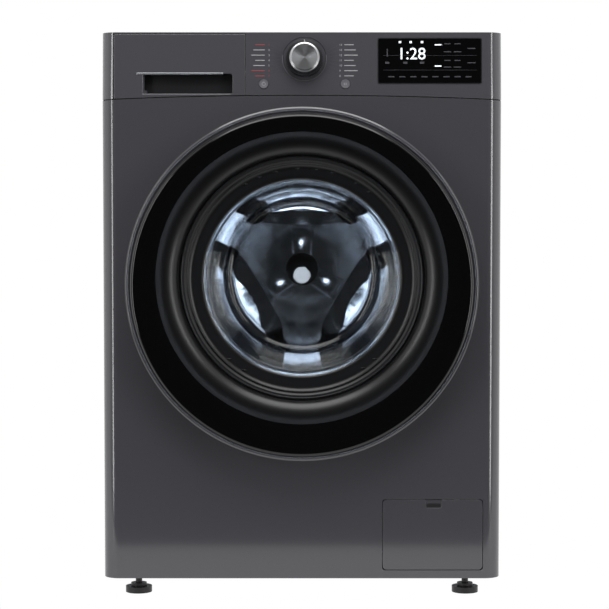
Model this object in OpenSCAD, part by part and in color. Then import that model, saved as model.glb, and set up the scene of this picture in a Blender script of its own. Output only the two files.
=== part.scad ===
// Front-loading washing machine, free-standing, 600 mm wide.
// Origin: middle of the footprint, on the floor. +Z up, the door faces -Y, +X to the right.

/* [Cabinet] */
// Width over the side panels
cabinet_w = 600; // [590:1:610]
// Height from the floor to the top of the lid
cabinet_h = 850; // [845:1:860]
// Height of the cabinet's underside above the floor
foot_h = 28; // [26:1:32]
// Distance of the flat front panel in front of the origin
front_d = 257.5; // [255:0.5:260]
// Distance of the rear panel's outer face behind the origin
rear_d = 295; // [293:0.5:297]
// How far the hose threads stand behind the rear panel
thread_len = 12.5; // [10:0.5:14]
// Thickness of the painted sheet steel
sheet = 1.5; // [1.2:0.1:2]
// Radius of the two vertical front corners
corner_r = 24; // [20:1:26]
// Depth of the front pieces, back to the side panels' front edges
front_return = 33; // [30:1:36]

/* [Control panel] */
// Height of the seam under the control panel, at its middle
seam_z = 755.6; // [752:0.2:758]
// Radius of the gently arched seam
seam_r = 6620; // [5000:10:9000]
// Backward lean of the control panel, in degrees
lean = 5; // [3:0.5:7]
// Thickness of the moulded fascia
fascia = 3; // [2.5:0.5:3.5]
// Height up the leaning face of the programme knob's axis
knob_v = 58.2; // [54:0.2:60]
// Sideways place of the programme knob
knob_x = 4; // [0:1:8]
// Radius of the knob's ribbed skirt
knob_r = 27.8; // [26:0.2:29]
// Radius of the two round push buttons
button_r = 7; // [6:0.5:8]
// Width of the display window
window_w = 155; // [150:1:160]
// Height of the display window, up the leaning face
window_v = 68.3; // [64:0.1:70]

/* [Drawer] */
// Left edge of the detergent drawer, from the middle of the machine
drawer_left = 281; // [278:0.5:283]
// Right edge of the detergent drawer, from the middle of the machine
drawer_right = 84.6; // [82:0.2:90]

/* [Door] */
// Radius of the door's black outer ring
door_r = 254; // [250:0.5:254.5]
// Height of the outer ring's centre
door_z = 472.4; // [470:0.2:474]
// How far the door stands in front of the panel
door_d = 50; // [49:0.5:51]
// Radius of the clear aperture
aperture_r = 147; // [145:0.5:148]
// Distance of the hinge axis to the left of the middle
hinge_x = 233; // [232:0.5:234]
// Distance of the hinge axis in front of the panel
hinge_d = 38; // [37.5:0.5:38.5]

/* [Drum and tub] */
// Height of the drum's axis
drum_z = 483.5; // [480:0.5:486]
// Outer radius of the drum
drum_r = 240; // [238:0.5:242]
// Outer radius of the tub
tub_r = 270; // [269:0.5:272]
// Radius of the drum's mouth
mouth_r = 160; // [158:0.5:162]
// Radius of the drive shaft in its bearings
shaft_r = 15; // [14:0.5:16]

/* [Hidden] */
$fn = 96;
e = 1;                                  // how far a cutter runs past a face
half_w = cabinet_w / 2;
front_y = -front_d;
rear_y = rear_d;
rear_end_y = rear_y + thread_len;
inner_y = front_y + sheet;
sides_y = front_y + front_return;       // where the front pieces end and the side panels start
seam_gap = 1.2;
lid_h = 20;
lid_z = cabinet_h - lid_h;
fold = 18;                              // width of the folded flanges
door_front_y = front_y - door_d;
hinge_y = front_y - hinge_d;
frame_back_y = front_y - 8.5;
ring_back_y = front_y - 22.5;
ear_low = 34;                           // hinge ears, above and below the door's centre height
ear_high = 44;
hook_x = 197;
hook_y = front_y - 16.5;
tub_front_y = -190;
tub_split_y = -30;
tub_back_y = 183;
drum_front_y = -181;
drum_back_y = 150;
face_z = 752;                           // height at which the leaning face meets the panel's plane
button_v = 20.6;
power_x = -57;
start_x = 65;
window_x = 113.7;
window_low = 21.1;
filter_x = 197.5;
filter_z = 94;
filter_w = 151;
filter_low = 41;
filter_high = 147.6;
filter_axis_y = front_y + 3;
filter_axis_z = filter_low + 5.2;
foot_x = 250;
foot_front_y = -215;
foot_rear_y = 255;
foot_travel_r = 5.3;
damper_x = 120;
damper_y = 90;
spring_x = 238;
spring_y = 75;
drain_z = 150;
inlet_x = [-190, -135];
inlet_z = 800;
gland_x = 225;
gland_z = 700;
cap_places = [for (x = [-225, 225], z = [290, 600]) [x, z]];
cover_r = 190;
panel_screw_x = half_w - 11;
panel_screw_z = [60, 250, 440, 630, 810];
cover_screw_r = 184;
cover_screws = [for (i = [0 : 7]) 22.5 + 45 * i];
screw_r = 2.2;
drawer_back_y = -232;
tray_x = [-274, -92];
tray_z = [764, 832];
tray_end_y = 12;
tray_walls = [-272, -216, -161, -94];   // inner edges of the outer walls, and the two dividers' middles
pull_x = [-271, -103.6];
sump_x = 50;
sump_y = -100;
port_y = -180;
flange_r = tub_r + 9;
tub_bolt_r = tub_r + 4.6;
tub_bolts_at = [for (i = [0 : 15]) 11.25 + 22.5 * i];
drain_end_y = rear_y - 12;

dark_steel = "#4b4a4f";
galvanised = "#a9adb0";
black_plastic = "#17171a";
grey_plastic = "#8e9196";
polished = "#c9ccd0";
rubber_grey = "#6f7276";
concrete = "#9a958c";

// ---- drawing aids ----

// Points of an arc, from angle a0 to a1
function arc(cx, cy, r, a0, a1, n = 12) =
    [for (i = [0 : n]) let (a = a0 + (a1 - a0) * i / n) [cx + r * cos(a), cy + r * sin(a)]];

// Points of a rectangle with round corners
function round_rect(x0, y0, x1, y1, r) = concat(
    arc(x1 - r, y0 + r, r, -90, 0, 6), arc(x1 - r, y1 - r, r, 0, 90, 6),
    arc(x0 + r, y1 - r, r, 90, 180, 6), arc(x0 + r, y0 + r, r, 180, 270, 6));

// Turns a drawing in x and z to face the front; its extrusion runs from y_back towards the front
module facing(y_back) translate([0, y_back, 0]) rotate([90, 0, 0]) children();

// Round bar or disc along Y, from y0 to y1
module bar_y(r, y0, y1, x = 0, z = 0)
    translate([x, y1, z]) rotate([90, 0, 0]) cylinder(r = r, h = y1 - y0);

// Round bar along X
module bar_x(r, x0, x1, y, z) translate([x0, y, z]) rotate([0, 90, 0]) cylinder(r = r, h = x1 - x0);

// Solid turned about an axis along Y, from [radius, y] points
module turned(points, z = drum_z, x = 0)
    translate([x, 0, z]) rotate([90, 0, 0]) rotate_extrude() polygon([for (p = points) [p[0], -p[1]]]);

// Box between two opposite corners
module block(low, high) translate(low) cube(high - low);

// Children placed on the leaning face: x sideways, y into the machine, z up the face
module on_face() translate([0, front_y, face_z]) rotate([-lean, 0, 0]) children();

// Children placed at a point of the leaning face, with z pointing out of it
module out_of_face(x, v) on_face() translate([x, 0, v]) rotate([90, 0, 0]) children();

// Plan of the cabinet's rounded front, with its face at y = 0, drawn in by inset
module front_plan(inset, back)
    let (r = corner_r - inset, cx = half_w - corner_r)
    polygon(concat(
        [[-half_w + inset, back]], arc(-cx, corner_r, r, 180, 270), arc(cx, corner_r, r, 270, 360),
        [[half_w - inset, back]]));

// U-shaped wall that follows the rounded front
module front_wall(t, back)
    difference() {
        front_plan(0, back);
        front_plan(t, back + e);
    }

// Everything under the arched seam, for trimming
module below_seam(gap) facing(0) translate([0, seam_z - seam_r, 0])
    linear_extrude(front_d + 2 * corner_r) circle(r = seam_r + gap, $fn = 1440);

// Places of four items mirrored about both middle planes
module four_ways(x, y0, y1) for (sx = [-1, 1], y = [y0, y1]) translate([sx * x, y, 0]) children();

// ---- cabinet ----

// One side panel: sheet with folded edges and a welded bracket for the suspension spring
module side_panel() color(dark_steel) difference() {
    union() {
        block([-half_w, sides_y + 0.5, foot_h], [-half_w + sheet, rear_y, lid_z - 0.5]);
        block([-half_w, sides_y + 0.5, foot_h], [-half_w + fold, rear_y - 2 * sheet, foot_h + sheet]);
        block([-half_w, rear_y - 2 * sheet, foot_h], [-half_w + fold, rear_y - sheet, lid_z - 0.5]);
        block([-half_w, spring_y - 22, 786], [-spring_x + 16, spring_y + 22, 790]);
        block([-half_w, spring_y - 22, 750], [-half_w + 4, spring_y + 22, 790]);
    }
    for (z = panel_screw_z) bar_y(screw_r, rear_y - 4, rear_y, -panel_screw_x, z);
    translate([-spring_x, spring_y, 780]) cylinder(r = 4, h = 20);
}

module left_side_panel() side_panel();
module right_side_panel() mirror([1, 0, 0]) side_panel();

// Rear panel with its service opening and the holes for hoses, lead and transit bolts
module rear_panel() color(galvanised) difference() {
    block([-half_w + sheet + 0.3, rear_y - sheet, foot_h + 2], [half_w - sheet - 0.3, rear_y, lid_z - 0.5]);
    bar_y(cover_r - 14, rear_y - 5, rear_y + e, 0, drum_z);
    for (sx = [-1, 1], z = panel_screw_z) bar_y(screw_r, rear_y - 4, rear_y + e, sx * panel_screw_x, z);
    for (a = cover_screws)
        bar_y(screw_r, rear_y - 4, rear_y + e, cover_screw_r * cos(a), drum_z + cover_screw_r * sin(a));
    for (p = cap_places) bar_y(12.5, rear_y - 4, rear_y + e, p[0], p[1]);
    for (x = inlet_x) bar_y(15, rear_y - 4, rear_y + e, x, inlet_z);
    bar_y(14, rear_y - 4, rear_y + e, filter_x, drain_z + 12);
    bar_y(11.5, rear_y - 4, rear_y + e, gland_x, gland_z);
}

// Shallow domed cover over the motor
module rear_cover() color(galvanised) difference() {
    turned([[0, rear_y + 8], [120, rear_y + 8], [168, rear_y + 6], [174, rear_y + 1.5],
        [cover_r, rear_y + 1.5], [cover_r, rear_y], [172, rear_y], [166, rear_y + 4.5],
        [120, rear_y + 6.5], [0, rear_y + 6.5]]);
    for (a = cover_screws)
        bar_y(screw_r, rear_y - 4, rear_y + 4, cover_screw_r * cos(a), drum_z + cover_screw_r * sin(a));
}

// Floor tray of the cabinet, with a hole for each foot
module base_frame() color(galvanised)
    let (x = half_w - sheet - 0.5, y0 = front_y + 4, y1 = rear_y - 3.5, z = foot_h + 2)
    difference() {
        union() {
            block([-x, y0, z], [x, y1, z + 2.5]);
            for (s = [-1, 1]) translate([s > 0 ? x - 2 : -x, y0 + corner_r, z]) cube([2,
                y1 - y0 - corner_r, 26]);
            block([-x + corner_r, y0, z], [x - corner_r, y0 + 2, z + 10]);
            block([-x, y1 - 2, z], [x, y1, z + 26]);
            for (y = [-damper_y, damper_y]) block([-x, y - 18, z], [x, y + 18, z + 12]);
        }
        four_ways(foot_x, foot_front_y, foot_rear_y) cylinder(r = foot_travel_r, h = 80);
        for (s = [-1, 1]) translate([s * x, y0, 0]) rotate([0, 0, 45]) cube([24, 24, 200], center = true);
    }

// Front panel: rounded corners, door opening, pressed rim around the door, filter opening
module front_panel() color(dark_steel) difference() {
    union() {
        intersection() {
            translate([0, front_y, foot_h]) linear_extrude(seam_z - foot_h + 5)
                front_wall(sheet, front_return);
            below_seam(-seam_gap / 2);
        }
        translate([0, 0, door_z]) facing(front_y + 0.5) difference() {
            cylinder(r = 263, h = 2.2);
            translate([0, 0, -e]) cylinder(r = 259.5, h = 5);
        }
    }
    bar_y(170, front_y - 5, inner_y + e, 0, drum_z);
    facing(inner_y + e) linear_extrude(5) polygon(round_rect(filter_x - filter_w / 2 - 0.7,
        filter_low - 0.8,
        filter_x + filter_w / 2 + 0.7, filter_high + 0.7, 4.5));
    block([hook_x - 11, front_y - e, door_z - 14], [hook_x + 15, inner_y + e, door_z + 14]);
}

// Lid of the cabinet, a shallow tray turned upside down
module top_plate() color(dark_steel) difference() {
    block([-half_w, sides_y + 0.5, lid_z], [half_w, rear_y, cabinet_h]);
    block([-half_w + 2, sides_y - e, lid_z - e], [half_w - 2, rear_y - 2, cabinet_h - 2]);
}

// ---- control panel ----

// Space of the control panel: between the seam, the lid and the side panels
module fascia_space() difference() {
    block([-half_w, front_y - e, seam_z - 12], [half_w, sides_y, cabinet_h]);
    below_seam(seam_gap / 2);
}

// Moulded fascia, with openings for drawer, window, knob and buttons
module control_panel() color(dark_steel) difference() {
    intersection() {
        union() {
            on_face() translate([0, 0, -20]) linear_extrude(140) front_wall(fascia, front_return + 12);
            intersection() {
                on_face() translate([0, 0, -20]) linear_extrude(140) front_plan(0, front_return + 12);
                block([-half_w, front_y - e, cabinet_h - 2.2], [half_w, sides_y, cabinet_h]);
            }
        }
        fascia_space();
    }
    block([-drawer_left - 0.7, front_y - e, seam_z - 20], [-drawer_right + 0.6, sides_y + e,
        cabinet_h - 2.2]);
    on_face() block([window_x - 0.3, -e, window_low - 0.3],
        [window_x + window_w + 0.3, fascia + e, window_low + window_v + 0.3]);
    out_of_face(knob_x, knob_v) translate([0, 0, -0.8]) cylinder(r = 33, h = 5);
    out_of_face(knob_x, knob_v) translate([0, 0, -8]) cylinder(r = 8.6, h = 12);
    for (x = [power_x, start_x])
        out_of_face(x, button_v) translate([0, 0, -8]) cylinder(r = button_r + 0.4, h = 12);
}

// Smoked window over the display
module display_window() color("#0a0a0c")
    on_face() block([window_x, 0.2, window_low], [window_x + window_w, 2.8, window_low + window_v]);

// Circuit board behind the fascia, with the display block, encoder and two switches
module control_board() color("#2f5a3a") {
    on_face() block([-75, 17, 10], [278, 18.6, 88]);
    on_face() block([window_x + 2, 4, window_low + 3], [window_x + window_w - 6, 16.8,
        window_low + window_v - 4]);
    out_of_face(knob_x, knob_v) difference() {
        translate([0, 0, -16.8]) cylinder(r = 9, h = 8);
        translate([0, 0, -16.8]) cylinder(r = 3.05, h = 9);
    }
    for (x = [power_x, start_x]) out_of_face(x, button_v) translate([0, 0, -16.8]) cylinder(r = 3, h = 5);
}

module programme_knob() color(polished) out_of_face(knob_x, knob_v) difference() {
    union() {
        translate([0, 0, 0.6]) cylinder(r = knob_r, h = 11);
        translate([0, 0, 11.6]) cylinder(r = knob_r - 5, h = 6);
        translate([0, 0, 17.6]) cylinder(r = knob_r - 7.8, h = 4);
        translate([0, 0, -6]) cylinder(r = 8, h = 8);
        translate([0, 0, -15]) cylinder(r = 3, h = 10);
    }
    for (i = [0 : 35]) rotate([0, 0, i * 10]) translate([knob_r + 0.4, 0, -e]) cylinder(r = 1.2,
        h = 20, $fn = 16);
}

// Push button with the flange that holds it behind the fascia
module push_button(x) color(grey_plastic) out_of_face(x, button_v) {
    translate([0, 0, -7]) cylinder(r = button_r, h = 8);
    translate([0, 0, -9]) cylinder(r = button_r + 2, h = 2.5);
}
module power_button() push_button(power_x);
module start_button() push_button(start_x);

// ---- detergent drawer ----

// Leaning front of the drawer with its finger scoop
module drawer_front() color(dark_steel) difference() {
    intersection() {
        on_face() translate([0, 0, -20]) linear_extrude(140) front_plan(0, front_return);
        block([-drawer_left, front_y - e, seam_z - 12], [-drawer_right, drawer_back_y, cabinet_h - 2.8]);
    }
    below_seam(seam_gap / 2);
    on_face() block([pull_x[0], -e, 5], [pull_x[1], 16, 36]);
    on_face() block([pull_x[0], 4.5, 5], [pull_x[1], 16, 50]);
}

// Tray with three open compartments
module drawer_tray() color(polished) difference() {
    block([tray_x[0], drawer_back_y, tray_z[0]], [tray_x[1], tray_end_y, tray_z[1]]);
    for (i = [0 : 2])
        block([tray_walls[i] + 1, drawer_back_y + 3, tray_z[0] + 3],
            [tray_walls[i + 1] - 1, tray_end_y - 3, tray_z[1] + e]);
}

// Box that the tray slides in, open to the front, with the water outlet in its floor
module dispenser_housing() color(grey_plastic) difference() {
    union() {
        block([-281.5, -231, 757.5], [-84.8, 42, 844.5]);
        translate([-160, 10, 745]) cylinder(r = 17, h = 20);
    }
    block([-279, -231 - e, 760.5], [-87.3, 32, 842]);
    translate([-160, 10, 740]) cylinder(r = 14, h = 40);
    for (x = inlet_x) bar_y(6, 30, 50, x, inlet_z);
}

// Pair of solenoid valves with hose threads at the back and tubes to the dispenser
module inlet_valve() color("#dfe3e6") {
    for (x = inlet_x) difference() {
        union() {
            bar_y(13.2, rear_y - 8, rear_end_y, x, inlet_z);
            bar_y(18, rear_y - 40, rear_y - 8, x, inlet_z);
            bar_y(8, 42, rear_y - 40, x, inlet_z);
        }
        bar_y(9.5, rear_y - 20, rear_end_y + e, x, inlet_z);
        bar_y(6, 42 - e, rear_y - 18, x, inlet_z);
    }
    block([inlet_x[0] + 12, rear_y - 38, inlet_z - 12], [inlet_x[1] - 12, rear_y - 10, inlet_z + 12]);
}

// ---- door ----

// Outline of the ring's smooth roll towards the glass; grow moves it inwards for the wall's back
function roll(grow) = [for (i = [0 : 10]) let (t = 9 * i)
    [216 - (34 - grow) * sin(t), front_y - 30 - (20 - grow) * cos(t)]];

// Glossy outer ring of the door, a hollow shell open at its back
module door_ring() color(black_plastic) difference() {
    turned(concat([[0, door_front_y]], [for (p = arc(door_r - 6, 6, 6, 270, 360, 8)) [p[0],
        door_front_y + p[1]]],
        [[door_r, ring_back_y], [0, ring_back_y]]), door_z);
    turned(concat([[0, door_front_y - e], [216, door_front_y - e]], roll(0), [[182, 0], [0, 0]]));
    difference() {
        bar_y(door_r - 3, door_front_y + 3, ring_back_y + e, 0, door_z);
        turned(concat([[0, door_front_y - e], [216, door_front_y - e]], roll(3), [[185, 0], [0, 0]]));
    }
    for (s = [-1, 1]) translate([0, 0, door_z + s * (ear_low + ear_high) / 2])
        block([-hinge_x - 40, hinge_y + 6.5, -7], [-hinge_x, ring_back_y + e, 7]);
    block([222, ring_back_y - 3, door_z - 52], [248, ring_back_y + e, door_z + 52]);
}

// Inner frame: closes the ring's back, holds the glass, hinge barrel and hook
module door_frame() color(black_plastic) difference() {
    union() {
        difference() {
            turned([[0, ring_back_y + 0.2], [door_r - 2, ring_back_y + 0.2], [door_r - 9, frame_back_y],
                [0, frame_back_y]], door_z);
            turned([[0, ring_back_y - e], [door_r - 5, ring_back_y - e], [door_r - 12, frame_back_y - 3],
                [0, frame_back_y - 3]], door_z);
        }
        turned([[0, -288], [181.5, -288], [181.5, frame_back_y], [0, frame_back_y]]);
        translate([-hinge_x, hinge_y, door_z - 33]) cylinder(r = 8, h = 66);
        block([-hinge_x - 8, hinge_y, door_z - 33], [-hinge_x + 8, frame_back_y, door_z + 33]);
        for (s = [-1, 1]) translate([hook_x, hook_y, door_z + s * 14])
            translate([-7, -7, -3.5]) cube([14, 14, 7]);
    }
    turned([[0, -289], [176, -289], [170, -284], [aperture_r, -281], [aperture_r, -276.5], [151.5, -276.5],
        [151.5, 0], [0, 0]]);
    translate([-hinge_x, hinge_y, door_z - 50]) cylinder(r = 4.05, h = 100);
    for (s = [-1, 1]) translate([-hinge_x, hinge_y, door_z + s * (ear_low + ear_high) / 2 - 6])
        cylinder(r = 56, h = 12);
    block([hook_x - 11, hook_y + 7.5, door_z - 16], [hook_x + 12, frame_back_y + e, door_z + 16]);
    block([hook_x - 6, hook_y - 8, door_z - 10.2], [hook_x + 6, frame_back_y + e, door_z + 10.2]);
    translate([hook_x, hook_y, door_z - 40]) cylinder(r = 3.05, h = 80);
    block([214, ring_back_y - 2, door_z - 60], [260, frame_back_y + e, door_z + 60]);
}

// Glass bowl, open to the front, that reaches into the drum's mouth
module door_glass() color("#b8c4c8", 0.5) turned(concat(
    [[aperture_r - 1.5, -276], [151, -276], [151, -267], [147.5, -263]],
    [[141, -235], [127, -175]], [[120, -160], [108, -152], [0, -147]],
    [[0, -152], [106, -157], [115, -163]], [[122, -177], [136, -237], [141, -262]]));

// Wall plate with two cranked ears and the hinge pin riveted between them
module hinge_bracket() color(polished) {
    block([-214, front_y - 3.5, door_z - 60], [-186, front_y, door_z + 60]);
    for (s = [-1, 1]) translate([0, 0, door_z + s * (ear_low + ear_high) / 2 - 5]) {
        translate([-hinge_x, hinge_y, 0]) cylinder(r = 7, h = 10);
        translate([-hinge_x, hinge_y - 5, 0]) cube([33, 10, 10]);
        translate([-hinge_x + 22, hinge_y - 5, 0]) cube([11, hinge_d + 5, 10]);
    }
    translate([-hinge_x, hinge_y, door_z - 46]) cylinder(r = 4, h = 92);
}

// Spring-loaded hook that turns on its own stub pins
module door_hook() color(polished) {
    translate([hook_x, hook_y, door_z - 17]) cylinder(r = 3, h = 34);
    translate([hook_x, hook_y, door_z - 9.7]) cylinder(r = 5.5, h = 19.4);
    block([hook_x - 3.5, hook_y, door_z - 9.7], [hook_x + 3.5, front_y + 22, door_z + 9.7]);
    block([hook_x - 3.5, front_y + 17, door_z - 9.7], [hook_x + 7.5, front_y + 22, door_z + 9.7]);
}

// Lock box behind the front panel, with the pocket that takes the hook
module door_lock() color("#e6e6e2") difference() {
    block([hook_x - 15, inner_y, door_z - 20], [hook_x + 45, inner_y + 32, door_z + 20]);
    block([hook_x - 11, inner_y - e, door_z - 14], [hook_x + 15, inner_y + 28, door_z + 14]);
}

// ---- seals, hoses and suspension ----

// Bellows between the front panel and the tub, with the lip that seals on the glass
module door_gasket() color(rubber_grey) turned([
    [156, front_y - 4.5], [177, front_y - 4.5], [177, front_y - 0.3], [169.6, front_y - 0.3],
    [169.6, inner_y + 0.3], [177, inner_y + 0.3], [177, inner_y + 5], [166, inner_y + 5],
    [166, -236], [181, -231], [181, -222], [179, -217], [179, -196], [173.4, -196], [173.4, -204.4],
    [167.6, -204.4], [167.6, -196], [163, -196], [163, -214], [176, -220], [176, -227], [160, -232],
    [160, -245], [154, -250], [153, -254]]);

// Fine-pitch coils stand as a closed sleeve with an eye at each end
module suspension_springs() color(galvanised) for (s = [-1, 1]) translate([s * spring_x, spring_y, 0]) {
    difference() {
        translate([0, 0, 656]) cylinder(r = 13, h = 116);
        translate([0, 0, 655]) cylinder(r = 9, h = 120);
    }
    for (z = [645, 771]) translate([-9.5, -2, z]) cube([19, 4, 12]);
    translate([0, 0, 782]) cylinder(r = 3, h = 12);
    translate([0, 0, 790.3]) cylinder(r = 7, h = 3);
    translate([0, 0, 634]) cylinder(r = 3, h = 12);
}

module dispenser_hose() color(black_plastic) translate([-160, 10, 0]) difference() {
    translate([0, 0, 716]) cylinder(r = 20.5, h = 41);
    translate([0, 0, 715]) cylinder(r = 17.2, h = 50);
}

module sump_route(r, z_top) {
    translate([sump_x, sump_y, filter_z]) cylinder(r = r, h = z_top - filter_z);
    translate([sump_x, sump_y, filter_z]) sphere(r = r);
    bar_y(r, port_y, sump_y, sump_x, filter_z);
    translate([sump_x, port_y, filter_z]) sphere(r = r);
}
module sump_hose() color(black_plastic) difference() {
    union() {
        sump_route(20, 211);
        bar_x(20, sump_x, filter_x - 34, port_y, filter_z);
    }
    sump_route(17.3, 230);
    bar_x(17.3, sump_x, filter_x, port_y, filter_z);
}

module damper_cylinders() color(black_plastic) four_ways(damper_x, -damper_y, damper_y) difference() {
    translate([0, 0, foot_h + 14]) cylinder(r = 15, h = 138);
    translate([0, 0, foot_h + 30]) cylinder(r = 7, h = 140);
}
module damper_rods() color(polished) four_ways(damper_x, -damper_y, damper_y) {
    translate([0, 0, 90]) cylinder(r = 6, h = 130);
    translate([0, 0, 205]) cylinder(r = 11, h = 15);
}

// ---- tub ----

// Vertical boss on the tub, trimmed to stay outside its wall
module tub_boss(x, y, r, z0, z1) difference() {
    translate([x, y, z0]) cylinder(r = r, h = z1 - z0);
    bar_y(tub_r - 2, -300, 300, 0, drum_z);
}
module tub_bolt_holes() for (a = tub_bolts_at)
    bar_y(2.8, tub_split_y - 14, tub_split_y + 14, tub_bolt_r * cos(a), drum_z + tub_bolt_r * sin(a));

module tub_front() color(grey_plastic) difference() {
    union() {
        turned([[168, -204], [173, -204], [173, tub_front_y], [255, tub_front_y], [tub_r, -175],
            [tub_r, tub_split_y - 12], [flange_r, tub_split_y - 12], [flange_r, tub_split_y],
            [tub_r - 4, tub_split_y], [tub_r - 4, -173], [253, tub_front_y + 4], [168, tub_front_y + 4]]);
        for (s = [-1, 1]) tub_boss(s * damper_x, -damper_y, 12, 220, 260);
        tub_boss(sump_x, sump_y, 17, 202, 235);
    }
    tub_bolt_holes();
    translate([sump_x, sump_y, 195]) cylinder(r = 13, h = 50);
}

module tub_rear() color(grey_plastic) difference() {
    union() {
        turned([[31, 172], [44, 172], [44, tub_back_y - 6], [250, tub_back_y - 6], [tub_r - 4, 161],
            [tub_r - 4, tub_split_y + 0.5], [flange_r, tub_split_y + 0.5], [flange_r, tub_split_y + 12],
            [tub_r, tub_split_y + 12], [tub_r, 163], [252, tub_back_y], [44, tub_back_y], [44,
                222], [31, 222]]);
        for (i = [0 : 11]) translate([0, tub_back_y - e, drum_z]) rotate([0, 30 * i + 15, 0])
            translate([140, 0, -2]) cube([108, 14, 4]);
        for (s = [-1, 1]) tub_boss(s * damper_x, damper_y, 12, 220, 260);
        for (s = [-1, 1]) tub_boss(s * spring_x, spring_y, 10, 590, 634);
        tub_boss(-160, 10, 17, 690, 738);
    }
    tub_bolt_holes();
    translate([-160, 10, 680]) cylinder(r = 14, h = 80);
    for (s = [-1, 1]) bar_y(4.4, 160, 200, s * 22, drum_z - 250);
}

module tub_bolts() color(polished) for (a = tub_bolts_at)
    translate([tub_bolt_r * cos(a), 0, drum_z + tub_bolt_r * sin(a)]) {
        bar_y(2.5, tub_split_y - 12, tub_split_y + 16);
        bar_y(4.4, tub_split_y - 17, tub_split_y - 12);
    }

// Concrete weight: part of a ring between two angles
module counterweight(a0, a1) color(concrete) translate([0, -194, drum_z]) rotate([90, 0, 0])
    linear_extrude(44)
    polygon(concat(arc(0, 0, 262, a0, a1, 36), arc(0, 0, 186, a1, a0, 36)));
module upper_counterweight() counterweight(32, 148);
module lower_counterweight() counterweight(205, 335);

module stator() color("#b06a3a") difference() {
    union() {
        turned([[50, tub_back_y], [92, tub_back_y], [92, 214], [50, 214]]);
        for (i = [0 : 23]) translate([0, 188, drum_z]) rotate([0, 15 * i, 0]) translate([88, 0,
            -6]) cube([30, 24, 12]);
    }
    bar_y(46, 180, 220, 0, drum_z);
}

module drum_bearings() color(polished) for (y = [182, 206]) turned([[shaft_r + 0.05, y], [30.95, y],
    [30.95, y + 16], [shaft_r + 0.05, y + 16]]);
module shaft_seal() color(black_plastic) turned([[shaft_r + 0.06, 173.5], [30.9, 173.5], [30.9, 181],
    [shaft_r + 0.06, 181]]);

// Two parallel rods joined at the front, on a terminal plate behind the tub
module heater() color(polished) {
    for (s = [-1, 1]) bar_y(4, -90, tub_back_y + 1, s * 22, drum_z - 250);
    bar_x(4, -22, 22, -90, drum_z - 250);
    for (s = [-1, 1]) translate([s * 22, -90, drum_z - 250]) sphere(r = 4);
    block([-38, tub_back_y, drum_z - 248], [38, tub_back_y + 4, drum_z - 236]);
    for (s = [-1, 1]) bar_y(4, tub_back_y, tub_back_y + 16, s * 22, drum_z - 250);
}

// ---- drum ----
module drum_shell() color(polished) turned([[drum_r - 1.5, -170], [drum_r, -170], [drum_r, drum_back_y],
    [drum_r - 1.5, drum_back_y]]);

module drum_front() color(polished) turned([[mouth_r - 3, drum_front_y - 1], [226, drum_front_y - 1],
    [drum_r - 1.6, -171.5], [drum_r - 1.6, -160], [drum_r - 3.1, -160], [drum_r - 3.1, -170.8],
    [225.4, drum_front_y + 0.5], [mouth_r, drum_front_y + 0.5], [mouth_r, -172], [mouth_r - 3, -172]]);

// Lens-shaped field of the rear disc: the part of a wide circle that lies inside the rim
module lobe(a, inset, y0, y1) intersection() {
    bar_y(228 - inset, y0, y1, 0, drum_z);
    bar_y(200 - inset, y0, y1, 265 * cos(a), drum_z + 265 * sin(a));
}

// Rear disc pressed from sheet, with three raised lobes and a round hub cap
module drum_back() color(polished) difference() {
    union() {
        bar_y(drum_r - 1.6, drum_back_y - 1.5, drum_back_y, 0, drum_z);
        for (a = [90, 210, 330]) lobe(a, 0, drum_back_y - 12, drum_back_y - 1);
        bar_y(28, drum_back_y - 8, drum_back_y - 1, 0, drum_z);
    }
    for (a = [90, 210, 330]) lobe(a, 1.5, drum_back_y - 10.5, drum_back_y + e);
    bar_y(26.5, drum_back_y - 6.5, drum_back_y + e, 0, drum_z);
}

// Outline of a lifter's section, towards its tip along x; wall draws it inwards
function lifter_outline(wall) = concat([[243, wall - 34], [243, 34 - wall]], [[222, 22 - wall]],
    arc(202, 0, 9 - wall, 60, 300, 8), [[222, wall - 22]]);

// Three hollow paddles on the drum's wall
module drum_lifters() color("#d8dadc") intersection() {
    for (a = [30, 150, 270]) translate([0, 0, drum_z]) rotate([0, -a, 0]) difference() {
        facing(132) linear_extrude(290) polygon(lifter_outline(0));
        facing(129.5) linear_extrude(285) polygon(lifter_outline(2.5));
    }
    bar_y(drum_r - 1.7, -160, 140, 0, drum_z);
}

// Cast three-armed spider that carries the drum on the shaft
module drum_spider() color(galvanised) {
    turned([[shaft_r + 0.02, drum_back_y + 0.3], [34, drum_back_y + 0.3], [34, 171],
        [shaft_r + 0.02, 171]]);
    for (a = [90, 210, 330]) translate([0, drum_back_y + 1.3, drum_z]) rotate([0, -a, 0])
        translate([29, 0, -16]) cube([199, 13, 32]);
}
module drive_shaft() color(polished) turned([[0, drum_back_y + 1], [shaft_r, drum_back_y + 1],
    [shaft_r, 224],
    [12, 224], [12, 243], [18, 243], [18, 250], [0, 250]]);
module rotor() color(galvanised) turned([[12.05, 226], [26, 226], [26, 238], [122, 238], [122,
    188], [131, 188],
    [131, 242], [12.05, 242]]);

// ---- pump ----
module pump_housing() color(grey_plastic) difference() {
    union() {
        bar_y(29, -238, -136, filter_x, filter_z);
        bar_y(42, -140, -90, filter_x, filter_z);
        bar_x(17, filter_x - 50, filter_x - 20, port_y, filter_z);
        translate([filter_x, -115, filter_z + 30]) cylinder(r = 11, h = drain_z - filter_z - 30);
        block([filter_x - 40, -138, foot_h + 4.5], [filter_x + 40, -110, filter_z]);
    }
    bar_y(24.45, -239, -144, filter_x, filter_z);
    bar_y(18, -145, -100, filter_x, filter_z);
    bar_y(36, -136, -94, filter_x, filter_z);
    bar_y(4, -100, -80, filter_x, filter_z);
    bar_x(13, filter_x - 60, filter_x - 10, port_y, filter_z);
    translate([filter_x, -115, filter_z + 20]) cylinder(r = 8, h = 90);
}

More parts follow.
